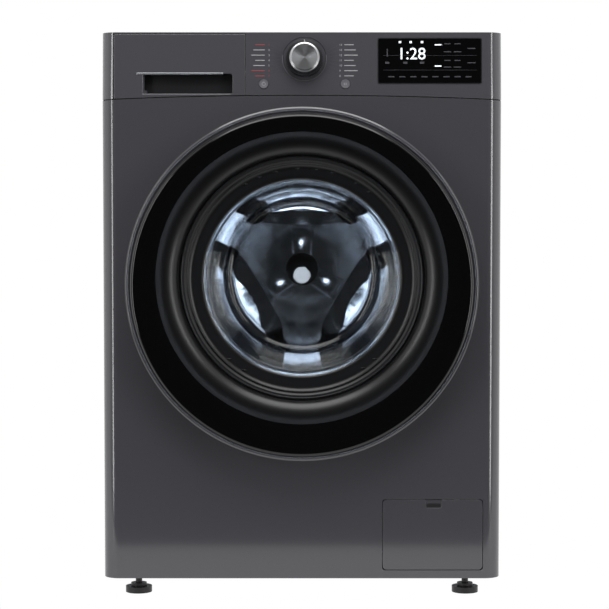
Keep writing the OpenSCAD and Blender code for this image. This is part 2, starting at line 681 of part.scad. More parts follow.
module pump_impeller() color(grey_plastic) {
    bar_y(3, -125, -60, filter_x, filter_z);
    bar_y(10, -130, -106, filter_x, filter_z);
    for (i = [0 : 5]) translate([filter_x, -128, filter_z]) rotate([0, 60 * i, 0]) translate([8, 0,
        -1.5]) cube([24, 20, 3]);
}

module pump_motor() color("#3a3c40") difference() {
    bar_y(30, -90, -20, filter_x, filter_z);
    bar_y(3.05, -91, -55, filter_x, filter_z);
}

// Screw-in lint filter: cap with a grip bar, journal and cage
module drain_filter() color(rubber_grey) {
    bar_y(32, -244, -238.3, filter_x, filter_z);
    block([filter_x - 24, -251, filter_z - 4], [filter_x + 24, -243, filter_z + 4]);
    bar_y(24.38, -239, -222, filter_x, filter_z);
    difference() {
        bar_y(22, -223, -150, filter_x, filter_z);
        bar_y(19, -215, -149, filter_x, filter_z);
        for (y = [-208 : 14 : -166], a = [0 : 60 : 150])
            translate([filter_x, y, filter_z]) rotate([0, a, 0]) cube([60, 8, 9], center = true);
    }
}

module drain_tube() color(black_plastic) difference() {
    union() {
        translate([filter_x, -115, drain_z - 12]) cylinder(r = 14, h = 24);
        translate([filter_x, -115, drain_z + 12]) sphere(r = 14);
        bar_y(14, -115, drain_end_y, filter_x, drain_z + 12);
    }
    translate([filter_x, -115, drain_z - 13]) cylinder(r = 11.3, h = 25);
    translate([filter_x, -115, drain_z + 12]) sphere(r = 11.3);
    bar_y(11.3, -115, drain_end_y + e, filter_x, drain_z + 12);
}

// Drain spigot through the rear panel, for the outside hose
module drain_outlet() color(grey_plastic) translate([0, 0, drain_z + 12]) difference() {
    union() {
        bar_y(11, drain_end_y - 24, rear_end_y, filter_x, 0);
        bar_y(18, rear_y, rear_y + 3, filter_x, 0);
    }
    bar_y(8, drain_end_y - 25, rear_end_y + e, filter_x, 0);
}

// Entry gland for the mains lead
module mains_gland() color(black_plastic) difference() {
    union() {
        bar_y(11, rear_y - 10, rear_y + 9, gland_x, gland_z);
        bar_y(15, rear_y, rear_y + 4, gland_x, gland_z);
        bar_y(14, rear_y - 6, rear_y - sheet, gland_x, gland_z);
    }
    bar_y(4.2, rear_y - 11, rear_y + 10, gland_x, gland_z);
}

module transit_caps() color(grey_plastic) for (p = cap_places) {
    bar_y(17, rear_y, rear_y + 4, p[0], p[1]);
    bar_y(12, rear_y - 8, rear_y, p[0], p[1]);
}

module panel_screw(y, x, z) {
    bar_y(4.5, y, y + 2.4, x, z);
    bar_y(screw_r - 0.2, y - 9, y, x, z);
}
module cabinet_screws() color(polished) {
    for (sx = [-1, 1], z = panel_screw_z) panel_screw(rear_y, sx * panel_screw_x, z);
    for (a = cover_screws) panel_screw(rear_y + 1.5, cover_screw_r * cos(a),
        drum_z + cover_screw_r * sin(a));
}

module foot_lock_nuts() color(galvanised) four_ways(foot_x, foot_front_y, foot_rear_y) difference() {
    translate([0, 0, foot_h - 6]) cylinder(r = 9.5, h = 6, $fn = 6);
    translate([0, 0, foot_h - 7]) cylinder(r = foot_travel_r, h = 8);
}

// Levelling foot: rubber-faced pad on a threaded stud
module foot(x, y) color(black_plastic) translate([x, y, 0]) {
    cylinder(r = 20, h = 9);
    translate([0, 0, 9]) cylinder(r = 12, h = 5);
    translate([0, 0, 12]) cylinder(r = 5, h = 52);
}
module foot_front_left() foot(-foot_x, foot_front_y);
module foot_front_right() foot(foot_x, foot_front_y);
module foot_rear_left() foot(-foot_x, foot_rear_y);
module foot_rear_right() foot(foot_x, foot_rear_y);

// Drop-down cover over the lint filter, turning on two stub pins
module filter_cover() color(dark_steel) difference() {
    union() {
        facing(front_y + 2.5) linear_extrude(2.5) polygon(round_rect(filter_x - filter_w / 2, filter_low,
            filter_x + filter_w / 2, filter_high, 8));
        for (s = [-1, 1]) translate([filter_x + s * 60, filter_axis_y, filter_axis_z]) {
            rotate([0, 90, 0]) translate([0, 0, -8]) cylinder(r = 2.5, h = 16);
            block([-5, -2, -2], [5, 0, 6]);
        }
    }
    block([filter_x - 11, front_y - e, filter_high - 12], [filter_x + 14, front_y + 1.6, filter_high + e]);
}

left_side_panel();
right_side_panel();
rear_panel();
rear_cover();
base_frame();
front_panel();
top_plate();
control_panel();
display_window();
control_board();
dispenser_housing();
inlet_valve();
door_lock();
hinge_bracket();
pump_housing();
pump_motor();
drain_tube();
drain_outlet();
mains_gland();
transit_caps();
cabinet_screws();
damper_cylinders();
door_gasket();
suspension_springs();
dispenser_hose();
sump_hose();
foot_lock_nuts();
foot_front_left();
foot_front_right();
foot_rear_left();
foot_rear_right();
tub_front();
tub_rear();
upper_counterweight();
lower_counterweight();
stator();
drum_bearings();
shaft_seal();
heater();
tub_bolts();
damper_rods();
drum_shell();
drum_front();
drum_back();
drum_lifters();
drum_spider();
drive_shaft();
rotor();
door_ring();
door_frame();
door_glass();
door_hook();
drawer_front();
drawer_tray();
programme_knob();
power_button();
start_button();
filter_cover();
drain_filter();
pump_impeller();
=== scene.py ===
"""Looks of the front-loading washing machine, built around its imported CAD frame."""

from math import atan2, cos, degrees, pi, radians, sin, sqrt

import bpy
from mathutils import Matrix, Vector


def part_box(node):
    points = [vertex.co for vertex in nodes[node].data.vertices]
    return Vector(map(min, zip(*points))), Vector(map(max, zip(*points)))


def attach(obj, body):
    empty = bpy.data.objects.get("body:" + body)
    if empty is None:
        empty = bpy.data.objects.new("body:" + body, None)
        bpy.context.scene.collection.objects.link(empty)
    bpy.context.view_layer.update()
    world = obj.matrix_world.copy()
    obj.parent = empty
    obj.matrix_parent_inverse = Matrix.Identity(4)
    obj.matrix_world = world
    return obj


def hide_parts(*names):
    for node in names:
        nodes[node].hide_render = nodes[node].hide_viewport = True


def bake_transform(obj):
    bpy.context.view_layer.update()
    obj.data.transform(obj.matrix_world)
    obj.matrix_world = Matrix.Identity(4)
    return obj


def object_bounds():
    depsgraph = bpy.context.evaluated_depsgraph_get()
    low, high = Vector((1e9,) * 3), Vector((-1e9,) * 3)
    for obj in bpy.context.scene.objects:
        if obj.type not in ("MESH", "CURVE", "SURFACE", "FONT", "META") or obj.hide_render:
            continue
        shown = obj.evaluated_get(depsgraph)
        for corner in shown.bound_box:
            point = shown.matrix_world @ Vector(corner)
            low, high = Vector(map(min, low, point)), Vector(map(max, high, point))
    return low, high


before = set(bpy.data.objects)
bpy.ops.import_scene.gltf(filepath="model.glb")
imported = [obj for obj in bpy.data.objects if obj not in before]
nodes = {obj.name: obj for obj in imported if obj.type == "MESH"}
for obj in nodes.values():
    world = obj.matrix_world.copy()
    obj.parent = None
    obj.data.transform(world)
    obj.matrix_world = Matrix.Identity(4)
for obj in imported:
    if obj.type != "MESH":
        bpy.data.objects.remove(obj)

cad_low, cad_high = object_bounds()

# ---- sizes, in metres, from the frame ----
ring_low, ring_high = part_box("door_ring")
shell_low, shell_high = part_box("drum_shell")
window_low, window_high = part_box("display_window")
cover_low, cover_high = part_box("filter_cover")
tray_low, tray_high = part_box("drawer_tray")
back_low, back_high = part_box("rear_panel")
glass_low, glass_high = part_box("door_glass")
HALF_W = cad_high.x
TOP_Z = cad_high.z
REAR_Y = back_high.y
DOOR_R = (ring_high.x - ring_low.x) / 2
DOOR_Z = (ring_high.z + ring_low.z) / 2
DOOR_Y = ring_low.y
FRONT_Y = DOOR_Y + 0.050
RETURN_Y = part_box("left_side_panel")[0].y - 0.0005  # where front pieces end and side panels start
BASE_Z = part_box("left_side_panel")[0].z
DRUM_Z = (shell_high.z + shell_low.z) / 2
DRUM_R = (shell_high.x - shell_low.x) / 2
DRUM_FRONT_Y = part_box("drum_front")[0].y
DRUM_BACK_Y = shell_high.y
FACE_Z = 0.752  # height where the leaning face meets the panel's plane
LEAN = radians(5)
SEAM_Z = 0.7556
SEAM_R = 6.62
SHEET = 0.0015
CORNER_R = 0.024
LID_H = 0.020
KNOB_X = 0.004
KNOB_V = 0.0582
KNOB_R = 0.0278
BUTTON_V = 0.0206
BUTTON_X = {"power_button": -0.057, "start_button": 0.065}
MOUTH_R = 0.157
MM = 0.001


# ---- materials ----
def linear(code):
    """Linear colour of an sRGB hex value such as "4b4a4f"."""
    parts = [int(code[i : i + 2], 16) / 255 for i in (0, 2, 4)]
    return [c / 12.92 if c <= 0.04045 else ((c + 0.055) / 1.055) ** 2.4 for c in parts] + [1.0]


def add(tree, kind, inputs=None, **settings):
    """Adds a node. inputs maps its sockets to values or to the sockets that feed them."""
    made = tree.nodes.new("ShaderNode" + kind)
    for name, value in settings.items():
        setattr(made, name, value)
    for key, value in (inputs or {}).items():
        if isinstance(value, bpy.types.NodeSocket):
            tree.links.new(value, made.inputs[key])
        else:
            made.inputs[key].default_value = value
    return made


def finish(name, colour, rough, metal=0.0, **constants):
    """A Principled material. Returns it with its tree, shader and Object coordinates."""
    made = bpy.data.materials.new(name)
    made.use_nodes = True
    tree = made.node_tree
    shader = tree.nodes["Principled BSDF"]
    shader.inputs["Base Color"].default_value = linear(colour)
    shader.inputs["Roughness"].default_value = rough
    shader.inputs["Metallic"].default_value = metal
    for key, value in constants.items():
        shader.inputs[key.replace("_", " ")].default_value = value
    place = add(tree, "TexCoord").outputs["Object"]
    made.diffuse_color = linear(colour)
    return made, tree, shader, place


def grain(tree, place, per_mm, detail=2.0, stretch=(1, 1, 1)):
    """Noise with so many cells to a millimetre, drawn out along an axis where stretch is under 1."""
    mapped = add(tree, "Mapping", {"Vector": place, "Scale": stretch})
    return add(
        tree, "TexNoise", {"Vector": mapped.outputs[0], "Scale": per_mm * 1000, "Detail": detail}
    ).outputs["Fac"]


def vary(tree, shader, amount, colours=None, rough=None, bump=0.0):
    """Lets a 0 to 1 pattern drive colour, roughness and height."""
    if colours:
        ramp = add(tree, "ValToRGB", {"Fac": amount})
        for stop, code in zip(ramp.color_ramp.elements, colours):
            stop.color = linear(code)
        ramp.color_ramp.elements[0].position = 0.35
        ramp.color_ramp.elements[1].position = 0.65
        tree.links.new(ramp.outputs["Color"], shader.inputs["Base Color"])
    if rough:
        spread = add(tree, "MapRange", {"Value": amount, "To Min": rough[0], "To Max": rough[1]})
        tree.links.new(spread.outputs[0], shader.inputs["Roughness"])
    if bump:
        relief = add(tree, "Bump", {"Height": amount, "Distance": bump, "Strength": 1.0})
        tree.links.new(relief.outputs[0], shader.inputs["Normal"])


def graphite_paint():
    """Metallic graphite enamel sprayed on steel: fine aluminium flake under a satin film."""
    made, tree, shader, place = finish("graphite_metallic_enamel", "4b4a4f", 0.5, 0.15, Specular_IOR_Level=0.15,
                                       Coat_Weight=0.9, Coat_Roughness=0.1, Coat_IOR=1.7)
    flake = grain(tree, place, 1.3, 3)  # flake is finer than this, drawn coarse enough to show
    vary(tree, shader, flake, ("48474c", "4e4d52"), (0.46, 0.54))
    return made


def fascia_paint():
    """Moulded ABS sprayed to match the steel, with a little more sheen than the panels."""
    made, tree, shader, place = finish("sprayed_abs_graphite", "4d4c51", 0.5, 0.15, Specular_IOR_Level=0.15,
                                       Coat_Weight=0.9, Coat_Roughness=0.1, Coat_IOR=1.7)
    vary(tree, shader, grain(tree, place, 1.5, 3), ("4a494e", "504f54"), (0.46, 0.54))
    return made


def polished_black():
    """Piano-black ABS from a mirror-finished mould: deep black, sharp reflections, faint ripple."""
    made, tree, shader, place = finish("piano_black_abs", "060607", 0.07, IOR=1.5)
    vary(tree, shader, grain(tree, place, 0.02, 1), None, (0.05, 0.09), 0.00002)
    return made


def satin_sheen_black():
    """The same ABS with a fine satin on the roll, so its highlight is broad and soft."""
    made, tree, shader, place = finish("satin_rolled_black_abs", "08080a", 0.3, IOR=1.5)
    vary(tree, shader, grain(tree, place, 0.6, 2), ("070708", "0a0a0c"), (0.27, 0.33))
    return made


def satin_black():
    """Spark-textured black polypropylene: dull, with a very fine even grain."""
    made, tree, shader, place = finish("textured_black_polypropylene", "111113", 0.42)
    vary(tree, shader, grain(tree, place, 1.0, 2), ("0e0e10", "151517"), (0.36, 0.48), 0.00003)
    return made


def bowl_glass():
    """Pressed soda-lime glass bowl: clear, faintly grey, slightly wavy inside."""
    made, tree, shader, place = finish("pressed_soda_lime_glass", "e6eaec", 0.0, Transmission_Weight=1.0,
                                       IOR=1.45)
    vary(tree, shader, grain(tree, place, 0.03, 1), None, None, 0.00004)
    return made


def rolled_stainless():
    """Bright-annealed stainless sheet: near-mirror with a faint rolling grain."""
    # the faint blue in these colours is a painted reflection of cool light
    made, tree, shader, place = finish("bright_annealed_stainless", "c4c8ce", 0.16, 1.0)
    vary(tree, shader, grain(tree, place, 0.5, 3, (1, 0.1, 1)), ("bcc0c7", "ced2d8"), (0.12, 0.22))
    return made


def pressed_stainless():
    """Deep-drawn polished stainless: mirror bright, with soft ripples from the press."""
    # the faint blue in these colours is a painted reflection of cool light
    made, tree, shader, place = finish("deep_drawn_stainless", "c6cbd3", 0.1, 1.0)
    vary(tree, shader, grain(tree, place, 0.025, 1), ("bfc5ce", "cfd4dc"), (0.08, 0.14), 0.0004)
    return made


def galvanised():
    """Hot-dip zinc on steel: dull blue-grey with frost-like spangle."""
    made, tree, shader, place = finish("galvanised_steel", "9aa0a4", 0.42, 0.85)
    crystals = add(tree, "TexVoronoi", {"Vector": place, "Scale": 90.0}).outputs["Color"]
    level = add(tree, "SeparateColor", {"Color": crystals}).outputs[0]
    vary(tree, shader, level, ("8f959a", "a5abaf"), (0.36, 0.5))
    return made


def plated_steel():
    """Bright zinc-plated steel fittings."""
    made, tree, shader, place = finish("zinc_plated_steel", "b4b8bb", 0.3, 1.0)
    vary(tree, shader, grain(tree, place, 0.8, 2), ("aaaeb2", "bec2c5"), (0.24, 0.36))
    return made


def spun_aluminium():
    """Aluminium cap turned on a lathe: fine rings that stretch each highlight across the rings."""
    made, tree, shader, place = finish("spun_aluminium", "c9cacc", 0.28, 1.0, Anisotropic=0.85)
    tangent = add(tree, "Tangent", direction_type="RADIAL", axis="Y")
    tree.links.new(tangent.outputs[0], shader.inputs["Tangent"])
    return made


def moulded(name, colour, rough=0.45, shift=8):
    """Injection-moulded plastic with a fine spark texture and a slightly uneven tone."""
    made, tree, shader, place = finish(name, colour, rough)
    tones = [int(colour[i : i + 2], 16) for i in (0, 2, 4)]
    dark, light = ("".join(f"{max(0, min(255, t + s)):02x}" for t in tones) for s in (-shift, shift))
    vary(tree, shader, grain(tree, place, 0.9, 2), (dark, light), (rough - 0.06, rough + 0.06), 0.00002)
    return made


def cast_concrete():
    """Cast concrete with fine pits and mottled cement."""
    made, tree, shader, place = finish("cast_concrete", "a49f96", 0.9)
    vary(tree, shader, grain(tree, place, 0.08, 8), ("8a857c", "b5b0a7"), (0.82, 0.95), 0.0006)
    return made


def printed(name, colour, strength=0.0):
    """Screen-printed marks, or marks lit from behind where strength is above 0."""
    made, tree, shader, place = finish(name, colour, 0.5)
    vary(tree, shader, grain(tree, place, 2.0, 1), None, (0.45, 0.55))
    shader.inputs["Emission Color"].default_value = linear(colour)
    shader.inputs["Emission Strength"].default_value = strength
    return made


PAINT = graphite_paint()
FASCIA = fascia_paint()
GLOSS = polished_black()
SATIN = satin_black()
SHEEN = satin_sheen_black()
GLASS = bowl_glass()
SHELL_STEEL = rolled_stainless()
PRESSED_STEEL = pressed_stainless()
ZINC = galvanised()
PLATED = plated_steel()
SPUN = spun_aluminium()
RUBBER = moulded("epdm_rubber_grey", "4e5154", 0.6, 4)
GREY = moulded("grey_polypropylene", "a3a7ab", 0.45)
WHITE = moulded("white_polyamide", "d4d5d2", 0.4)
KNURL = moulded("black_knob_abs", "1b1b1e", 0.35, 4)
BUTTON = moulded("satin_grey_abs", "6c6b70", 0.35, 5)
PADDLE = moulded("lifter_polypropylene", "b9bfc6", 0.3, 5)
BOARD = moulded("solder_mask_green", "1f5136", 0.4, 6)
COPPER = moulded("lacquered_copper", "8f4a26", 0.35, 10)
CONCRETE = cast_concrete()
PRINT = printed("white_screen_print", "b9b9bd")
RED_PRINT = printed("red_screen_print", "a8484a")
DIM_PRINT = printed("dim_screen_print", "47474c")
LIT = printed("white_led_segments", "e8eef2", 1.0)


# ---- modelling aids ----
def start(x=0.0, y=0.0, z=0.0):
    """Clears the selection, so that an operator acts on the new primitive alone."""
    if bpy.context.mode != "OBJECT":
        bpy.ops.object.mode_set(mode="OBJECT")
    bpy.ops.object.select_all(action="DESELECT")
    return Vector((x, y, z))


def settle(name):
    """Names the new primitive and moves its place and turn into its mesh."""
    made = bpy.context.view_layer.objects.active
    made.name = name
    made.data.name = name
    bpy.ops.object.transform_apply(location=True, rotation=True, scale=True)
    return made


def turned(name, rings, z=DRUM_Z, x=0.0, steps=160, closed=False):
    """Lathe work about an axis along Y: a circle extruded and resized through rings of
    (radius, y) or (radius, y, height of the centre)."""
    poles = [i for i, r in enumerate(rings) if closed and r[0] == rings[i - 1][0] == 0]
    if poles:  # a solid that meets its axis starts at one pole and ends at the other
        rings = rings[poles[0] :] + rings[: poles[0]]
        closed = False
    rings = [(max(r[0], 1e-6), r[1], r[2] if len(r) > 2 else z) for r in rings]
    lead = rings[:1] if rings[0][0] < 1e-5 else []
    rings = rings[len(lead) :]
    start()
    bpy.ops.mesh.primitive_circle_add(
        vertices=steps, radius=rings[0][0], location=(x, rings[0][1], rings[0][2]), rotation=(pi / 2, 0, 0)
    )
    made = settle(name)
    for run in (rings + (rings[:1] if closed else []), rings[:1] + lead):
        edit(made, edges=lambda middle, way: abs(middle.y - run[0][1]) < 1e-6)
        bpy.ops.mesh.select_mode(type="VERT")
        for (r0, y0, z0), (r1, y1, z1) in zip(run, run[1:]):
            bpy.ops.mesh.extrude_region_move(TRANSFORM_OT_translate={"value": (0, y1 - y0, z1 - z0)})
            bpy.ops.transform.resize(value=(r1 / r0, 1, r1 / r0), center_override=(x, y1, z1))
        leave()
        if not lead:
            break
    edit(made, faces=lambda middle, way: True)
    bpy.ops.mesh.remove_doubles(threshold=1e-5)
    bpy.ops.mesh.normals_make_consistent(inside=False)
    leave()
    return made


def slab(name, low, high, bevel=0.0, segments=3):
    """Block between two corners, with all its edges rounded."""
    low, high = Vector(low), Vector(high)
    start()
    bpy.ops.mesh.primitive_cube_add(size=1, location=(low + high) / 2, scale=high - low)
    made = settle(name)
    if bevel:
        bpy.ops.object.mode_set(mode="EDIT")
        bpy.ops.mesh.select_all(action="SELECT")
        bpy.ops.mesh.bevel(offset=bevel, segments=segments, affect="EDGES")
        bpy.ops.object.mode_set(mode="OBJECT")
    return made


def rod(name, radius, y0, y1, x=0.0, z=0.0, steps=48, bevel=0.0):
    """Round bar along Y with bevelled rims."""
    start()
    bpy.ops.mesh.primitive_cylinder_add(
        vertices=steps, radius=radius, depth=y1 - y0, location=(x, (y0 + y1) / 2, z),
        rotation=(pi / 2, 0, 0)
    )
    made = settle(name)
    if bevel:
        soften(made, bevel, 2)
    return made


def modify(piece, kind, **settings):
    """Adds a modifier and applies it at once."""
    start()
    bpy.context.view_layer.objects.active = piece
    piece.select_set(True)
    modifier = piece.modifiers.new(kind.lower(), kind)
    for name, value in settings.items():
        setattr(modifier, name, value)
    bpy.ops.object.modifier_apply(modifier=modifier.name)
    return piece


def soften(piece, width, segments=2, angle=35):
    """Rounds the edges that are sharper than angle."""
    return modify(piece, "BEVEL", width=width, segments=segments, limit_method="ANGLE",
                  angle_limit=radians(angle), harden_normals=False)


def carve(piece, *cutters, operation="DIFFERENCE"):
    """Cuts pieces out of another, or keeps what they share, and removes the cutters."""
    for cutter in cutters:
        modify(piece, "BOOLEAN", object=cutter, operation=operation, solver="EXACT")
        bpy.data.objects.remove(cutter)
    return piece


def edit(piece, faces=None, edges=None):
    """Opens a piece in edit mode with the faces or edges selected for which a test of place
    and direction holds."""
    start()
    bpy.context.view_layer.objects.active = piece
    piece.select_set(True)
    mesh = piece.data
    bpy.ops.object.mode_set(mode="EDIT")
    bpy.ops.mesh.select_mode(type="FACE" if faces else "EDGE")
    bpy.ops.mesh.select_all(action="DESELECT")
    bpy.ops.object.mode_set(mode="OBJECT")
    if faces:
        for face in mesh.polygons:
            face.select = bool(faces(face.center, face.normal))
    if edges:
        for edge in mesh.edges:
            a, b = (mesh.vertices[i].co for i in edge.vertices)
            edge.select = bool(edges((a + b) / 2, (b - a).normalized()))
    bpy.ops.object.mode_set(mode="EDIT")


def leave():
    bpy.ops.object.mode_set(mode="OBJECT")


def join(name, *pieces):
    """Makes one object of several."""
    start()
    for piece in pieces:
        piece.select_set(True)
    bpy.context.view_layer.objects.active = pieces[0]
    bpy.ops.object.join()
    pieces[0].name = name
    pieces[0].data.name = name
    return pieces[0]


def lean_back(piece):
    """Turns a piece drawn on the upright plane y = 0, z up from 0, onto the leaning face."""
    turn = Matrix.Translation((0, FRONT_Y, FACE_Z)) @ Matrix.Rotation(-LEAN, 4, "X")
    piece.data.transform(turn)
    piece.data.update()
    return piece


def done(piece, body, slot, material, *replaced, angle=32):
    """Smooths a finished piece, gives it its material and body, and hides what it stands for."""
    start()
    bpy.context.view_layer.objects.active = piece
    piece.select_set(True)
    bpy.ops.object.shade_smooth_by_angle(angle=radians(angle))
    if material in (PAINT, FASCIA):  # keeps the broad flat sheets flat beside their rounded edges
        modify(piece, "WEIGHTED_NORMAL", keep_sharp=True, weight=90)
    if material:
        piece.data.materials.clear()
        piece.data.materials.append(material)
    if body:
        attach(piece, body)
    if replaced:
        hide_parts(*replaced)
    return piece


def arc(cx, cy, radius, a0, a1, count=8):
    """Points of an arc, from angle a0 to a1 in degrees."""
    angles = [radians(a0 + (a1 - a0) * i / count) for i in range(count + 1)]
    return [(cx + radius * cos(a), cy + radius * sin(a)) for a in angles]


# ---- cabinet ----
def rounded_front(name, z0, z1, thick, back_y, front=FRONT_Y):
    """Wall with two rounded vertical corners, open at the back."""
    made = slab(name, (-HALF_W, front, z0), (HALF_W, back_y + 0.05, z1))
    edit(made, edges=lambda p, d: abs(d.z) > 0.9 and p.y < front + 0.001)
    bpy.ops.mesh.bevel(offset=CORNER_R, segments=14, affect="EDGES")
    leave()
    hollow = slab("hollow", (-HALF_W + thick, front + thick, z0 - 0.01),
                  (HALF_W - thick, back_y + 0.1, z1 + 0.01))
    edit(hollow, edges=lambda p, d: abs(d.z) > 0.9 and p.y < front + thick + 0.001)
    bpy.ops.mesh.bevel(offset=CORNER_R - thick, segments=14, affect="EDGES")
    leave()
    carve(made, hollow)
    return carve(made, slab("back", (-1, back_y, z0 - 1), (1, back_y + 1, z1 + 1)))


def seam_drum(gap):
    """Huge cylinder whose top is the arched seam, for trimming above or below it."""
    made = rod("seam", SEAM_R + gap, FRONT_Y - 0.05, FRONT_Y + 0.1, 0, SEAM_Z - SEAM_R, 1600)
    return made


def round_block(name, x0, x1, z0, z1, y0, y1, radius):
    """Block whose four edges along Y are rounded."""
    made = slab(name, (x0, y0, z0), (x1, y1, z1))
    edit(made, edges=lambda p, d: abs(d.y) > 0.9)
    bpy.ops.mesh.bevel(offset=radius, segments=6, affect="EDGES")
    leave()
    return made


def front_panel():
    made = rounded_front("front_panel_skin", BASE_Z, SEAM_Z + 0.01, SHEET, RETURN_Y)
    carve(made, seam_drum(-0.0006), operation="INTERSECT")
    gap = 0.0007
    carve(made, rod("opening", 0.170, FRONT_Y - 0.02, FRONT_Y + 0.02, 0, DRUM_Z, 128),
          round_block("bay", cover_low.x - gap, cover_high.x + gap, cover_low.z - gap, cover_high.z + gap,
                      FRONT_Y - 0.02, FRONT_Y + 0.02, 0.005),
          slab("hook_slot", (0.186, FRONT_Y - 0.02, DOOR_Z - 0.014), (0.212, FRONT_Y + 0.02, DOOR_Z + 0.014)))
    soften(made, 0.0005, 2, 50)
    done(made, "root", "painted_panel", PAINT, "front_panel", angle=30)
    rim = [(r, FRONT_Y + y) for r, y in (
        (0.2665, 0.0002), (0.2655, -0.0003), (0.2645, -0.0011), (0.2632, -0.0016), (0.2615, -0.0017),
        (0.2600, -0.0014), (0.2590, -0.0007), (0.2582, 0.0001))]
    done(turned("pressed_door_rim", rim, DOOR_Z, steps=240), "root", "painted_panel", PAINT)


def side_panel(side, name):
    """Steel side with folded edges and a broad pressed field that stiffens it."""
    x = side * HALF_W
    y0, y1 = RETURN_Y + 0.0005, REAR_Y
    z0, z1 = BASE_Z, TOP_Z - LID_H - 0.0005
    made = slab(name + "_skin", (min(x, x - side * SHEET), y0, z0), (max(x, x - side * SHEET), y1, z1))
    for low, high in (((0.045, 0.06), (0.474, 0.36)), ((0.045, 0.42), (0.474, 0.74))):
        edit(made, faces=lambda p, n: n.x * side > 0.9)
        leave()
        cutter = slab("field", (x - side * 0.0008 - 0.002, y0 + low[0], z0 + low[1]),
                      (x - side * 0.0008 + 0.002, y0 + high[0], z0 + high[1]))
        edit(cutter, edges=lambda p, d: abs(d.x) > 0.9)
        bpy.ops.mesh.bevel(offset=0.03, segments=8, affect="EDGES")
        leave()
        cutter.data.transform(Matrix.Translation((side * 0.002, 0, 0)))
        carve(made, cutter)
    soften(made, 0.0006, 3, 50)
    flanges = [slab("flange", (min(x, x - side * 0.018), REAR_Y - 2 * SHEET, z0),
                    (max(x, x - side * 0.018), REAR_Y - SHEET, z1)),
               slab("flange", (min(x, x - side * 0.018), y0, z0),
                    (max(x, x - side * 0.018), REAR_Y - 2 * SHEET, z0 + SHEET))]
    made = join(name + "_skin", made, *flanges)
    done(made, "root", "painted_panel", PAINT, name, angle=30)


def lid():
    made = slab("lid_shell", (-HALF_W, RETURN_Y + 0.0005, TOP_Z - LID_H), (HALF_W, REAR_Y, TOP_Z))
    edit(made, edges=lambda p, d: p.z > TOP_Z - 0.001 or (abs(d.z) > 0.9 and p.y > 0))
    bpy.ops.mesh.bevel(offset=0.004, segments=4, affect="EDGES")
    leave()
    hollow = slab("hollow", (-HALF_W + 0.002, RETURN_Y + 0.0025, TOP_Z - 1), (HALF_W - 0.002, REAR_Y - 0.002, TOP_Z - 0.002))
    carve(made, hollow)
    done(made, "root", "painted_panel", PAINT, "top_plate", angle=30)


def fascia_blank(name, low_gap):
    """Leaning solid front between the seam and the lid, with its rounded corners."""
    made = slab(name, (-HALF_W, 0, -0.02), (HALF_W, 0.08, 0.12))
    edit(made, edges=lambda p, d: abs(d.z) > 0.9 and p.y < 0.001)
    bpy.ops.mesh.bevel(offset=CORNER_R, segments=14, affect="EDGES")
    leave()
    lean_back(made)
    carve(made, seam_drum(low_gap))
    return made


def control_panel():
    made = fascia_blank("fascia_shell", 0.0006)
    carve(made, slab("space", (-HALF_W, FRONT_Y - 0.01, SEAM_Z - 0.02), (HALF_W, RETURN_Y, TOP_Z)), operation="INTERSECT")
    hollow = slab("hollow", (-HALF_W + 0.003, 0.003, -0.03), (HALF_W - 0.003, 0.2, 0.0945))
    edit(hollow, edges=lambda p, d: abs(d.z) > 0.9 and p.y < 0.004)
    bpy.ops.mesh.bevel(offset=CORNER_R - 0.003, segments=8, affect="EDGES")
    leave()
    carve(made, lean_back(hollow))
    x0, x1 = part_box("drawer_front")[0].x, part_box("drawer_front")[1].x
    cuts = [slab("drawer_bay", (x0 - 0.0007, FRONT_Y - 0.02, FACE_Z - 0.03), (x1 + 0.0006, RETURN_Y + 0.01, TOP_Z - 0.0022)),
            lean_back(round_block("window_bay", window_low.x - 0.0003, window_high.x + 0.0003, 0.0208, 0.0897,
                                  -0.01, 0.01, 0.0025)),
            lean_back(rod("dish", 0.033, -0.01, 0.0008, KNOB_X, KNOB_V, 96)),
            lean_back(rod("spindle_hole", 0.0086, -0.01, 0.01, KNOB_X, KNOB_V, 48))]
    cuts += [lean_back(rod("button_hole", 0.0074, -0.01, 0.01, x, BUTTON_V, 48)) for x in BUTTON_X.values()]
    carve(made, *cuts)
    soften(made, 0.0007, 3, 40)
    done(made, "root", "painted_panel", FASCIA, "control_panel", angle=30)


def drawer_front():
    made = fascia_blank("drawer_face", 0.0006)
    low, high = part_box("drawer_front")
    carve(made, slab("space", (low.x, FRONT_Y - 0.01, SEAM_Z - 0.02), (high.x, high.y, high.z)), operation="INTERSECT")
    # finger scoop: deep pocket under an overhanging lip, its left end a long ramp
    x0, x1 = -0.271, -0.1036
    scoop = slab("scoop", (x0, -0.01, 0.0055), (x1, 0.0155, 0.036))
    edit(scoop, edges=lambda p, d: abs(d.y) > 0.9)
    bpy.ops.mesh.bevel(offset=0.004, segments=5, affect="EDGES")
    leave()
    ramp = slab("ramp", (x0 - 0.03, 0.0, 0.0), (x0 + 0.028, 0.03, 0.06))
    ramp.data.transform(Matrix.Translation((x0, 0, 0)) @ Matrix.Rotation(radians(-32), 4, "Z") @ Matrix.Translation((-x0, 0, 0)))
    carve(scoop, ramp)
    carve(made, lean_back(scoop), lean_back(slab("undercut", (x0 + 0.03, 0.0045, 0.012), (x1 - 0.004, 0.0155, 0.0485))))
    soften(made, 0.0008, 3, 40)
    done(made, "drawer", "painted_panel", FASCIA, "drawer_front", angle=30)
    # bright plated strip on the lip's edge: a painted highlight
    lip = slab("scoop_lip_painted_highlight", (x0 + 0.024, -0.0006, 0.0345), (x1 - 0.014, 0.0012, 0.0375), 0.0006)
    done(lean_back(lip), "drawer", "satin_button", PLATED)


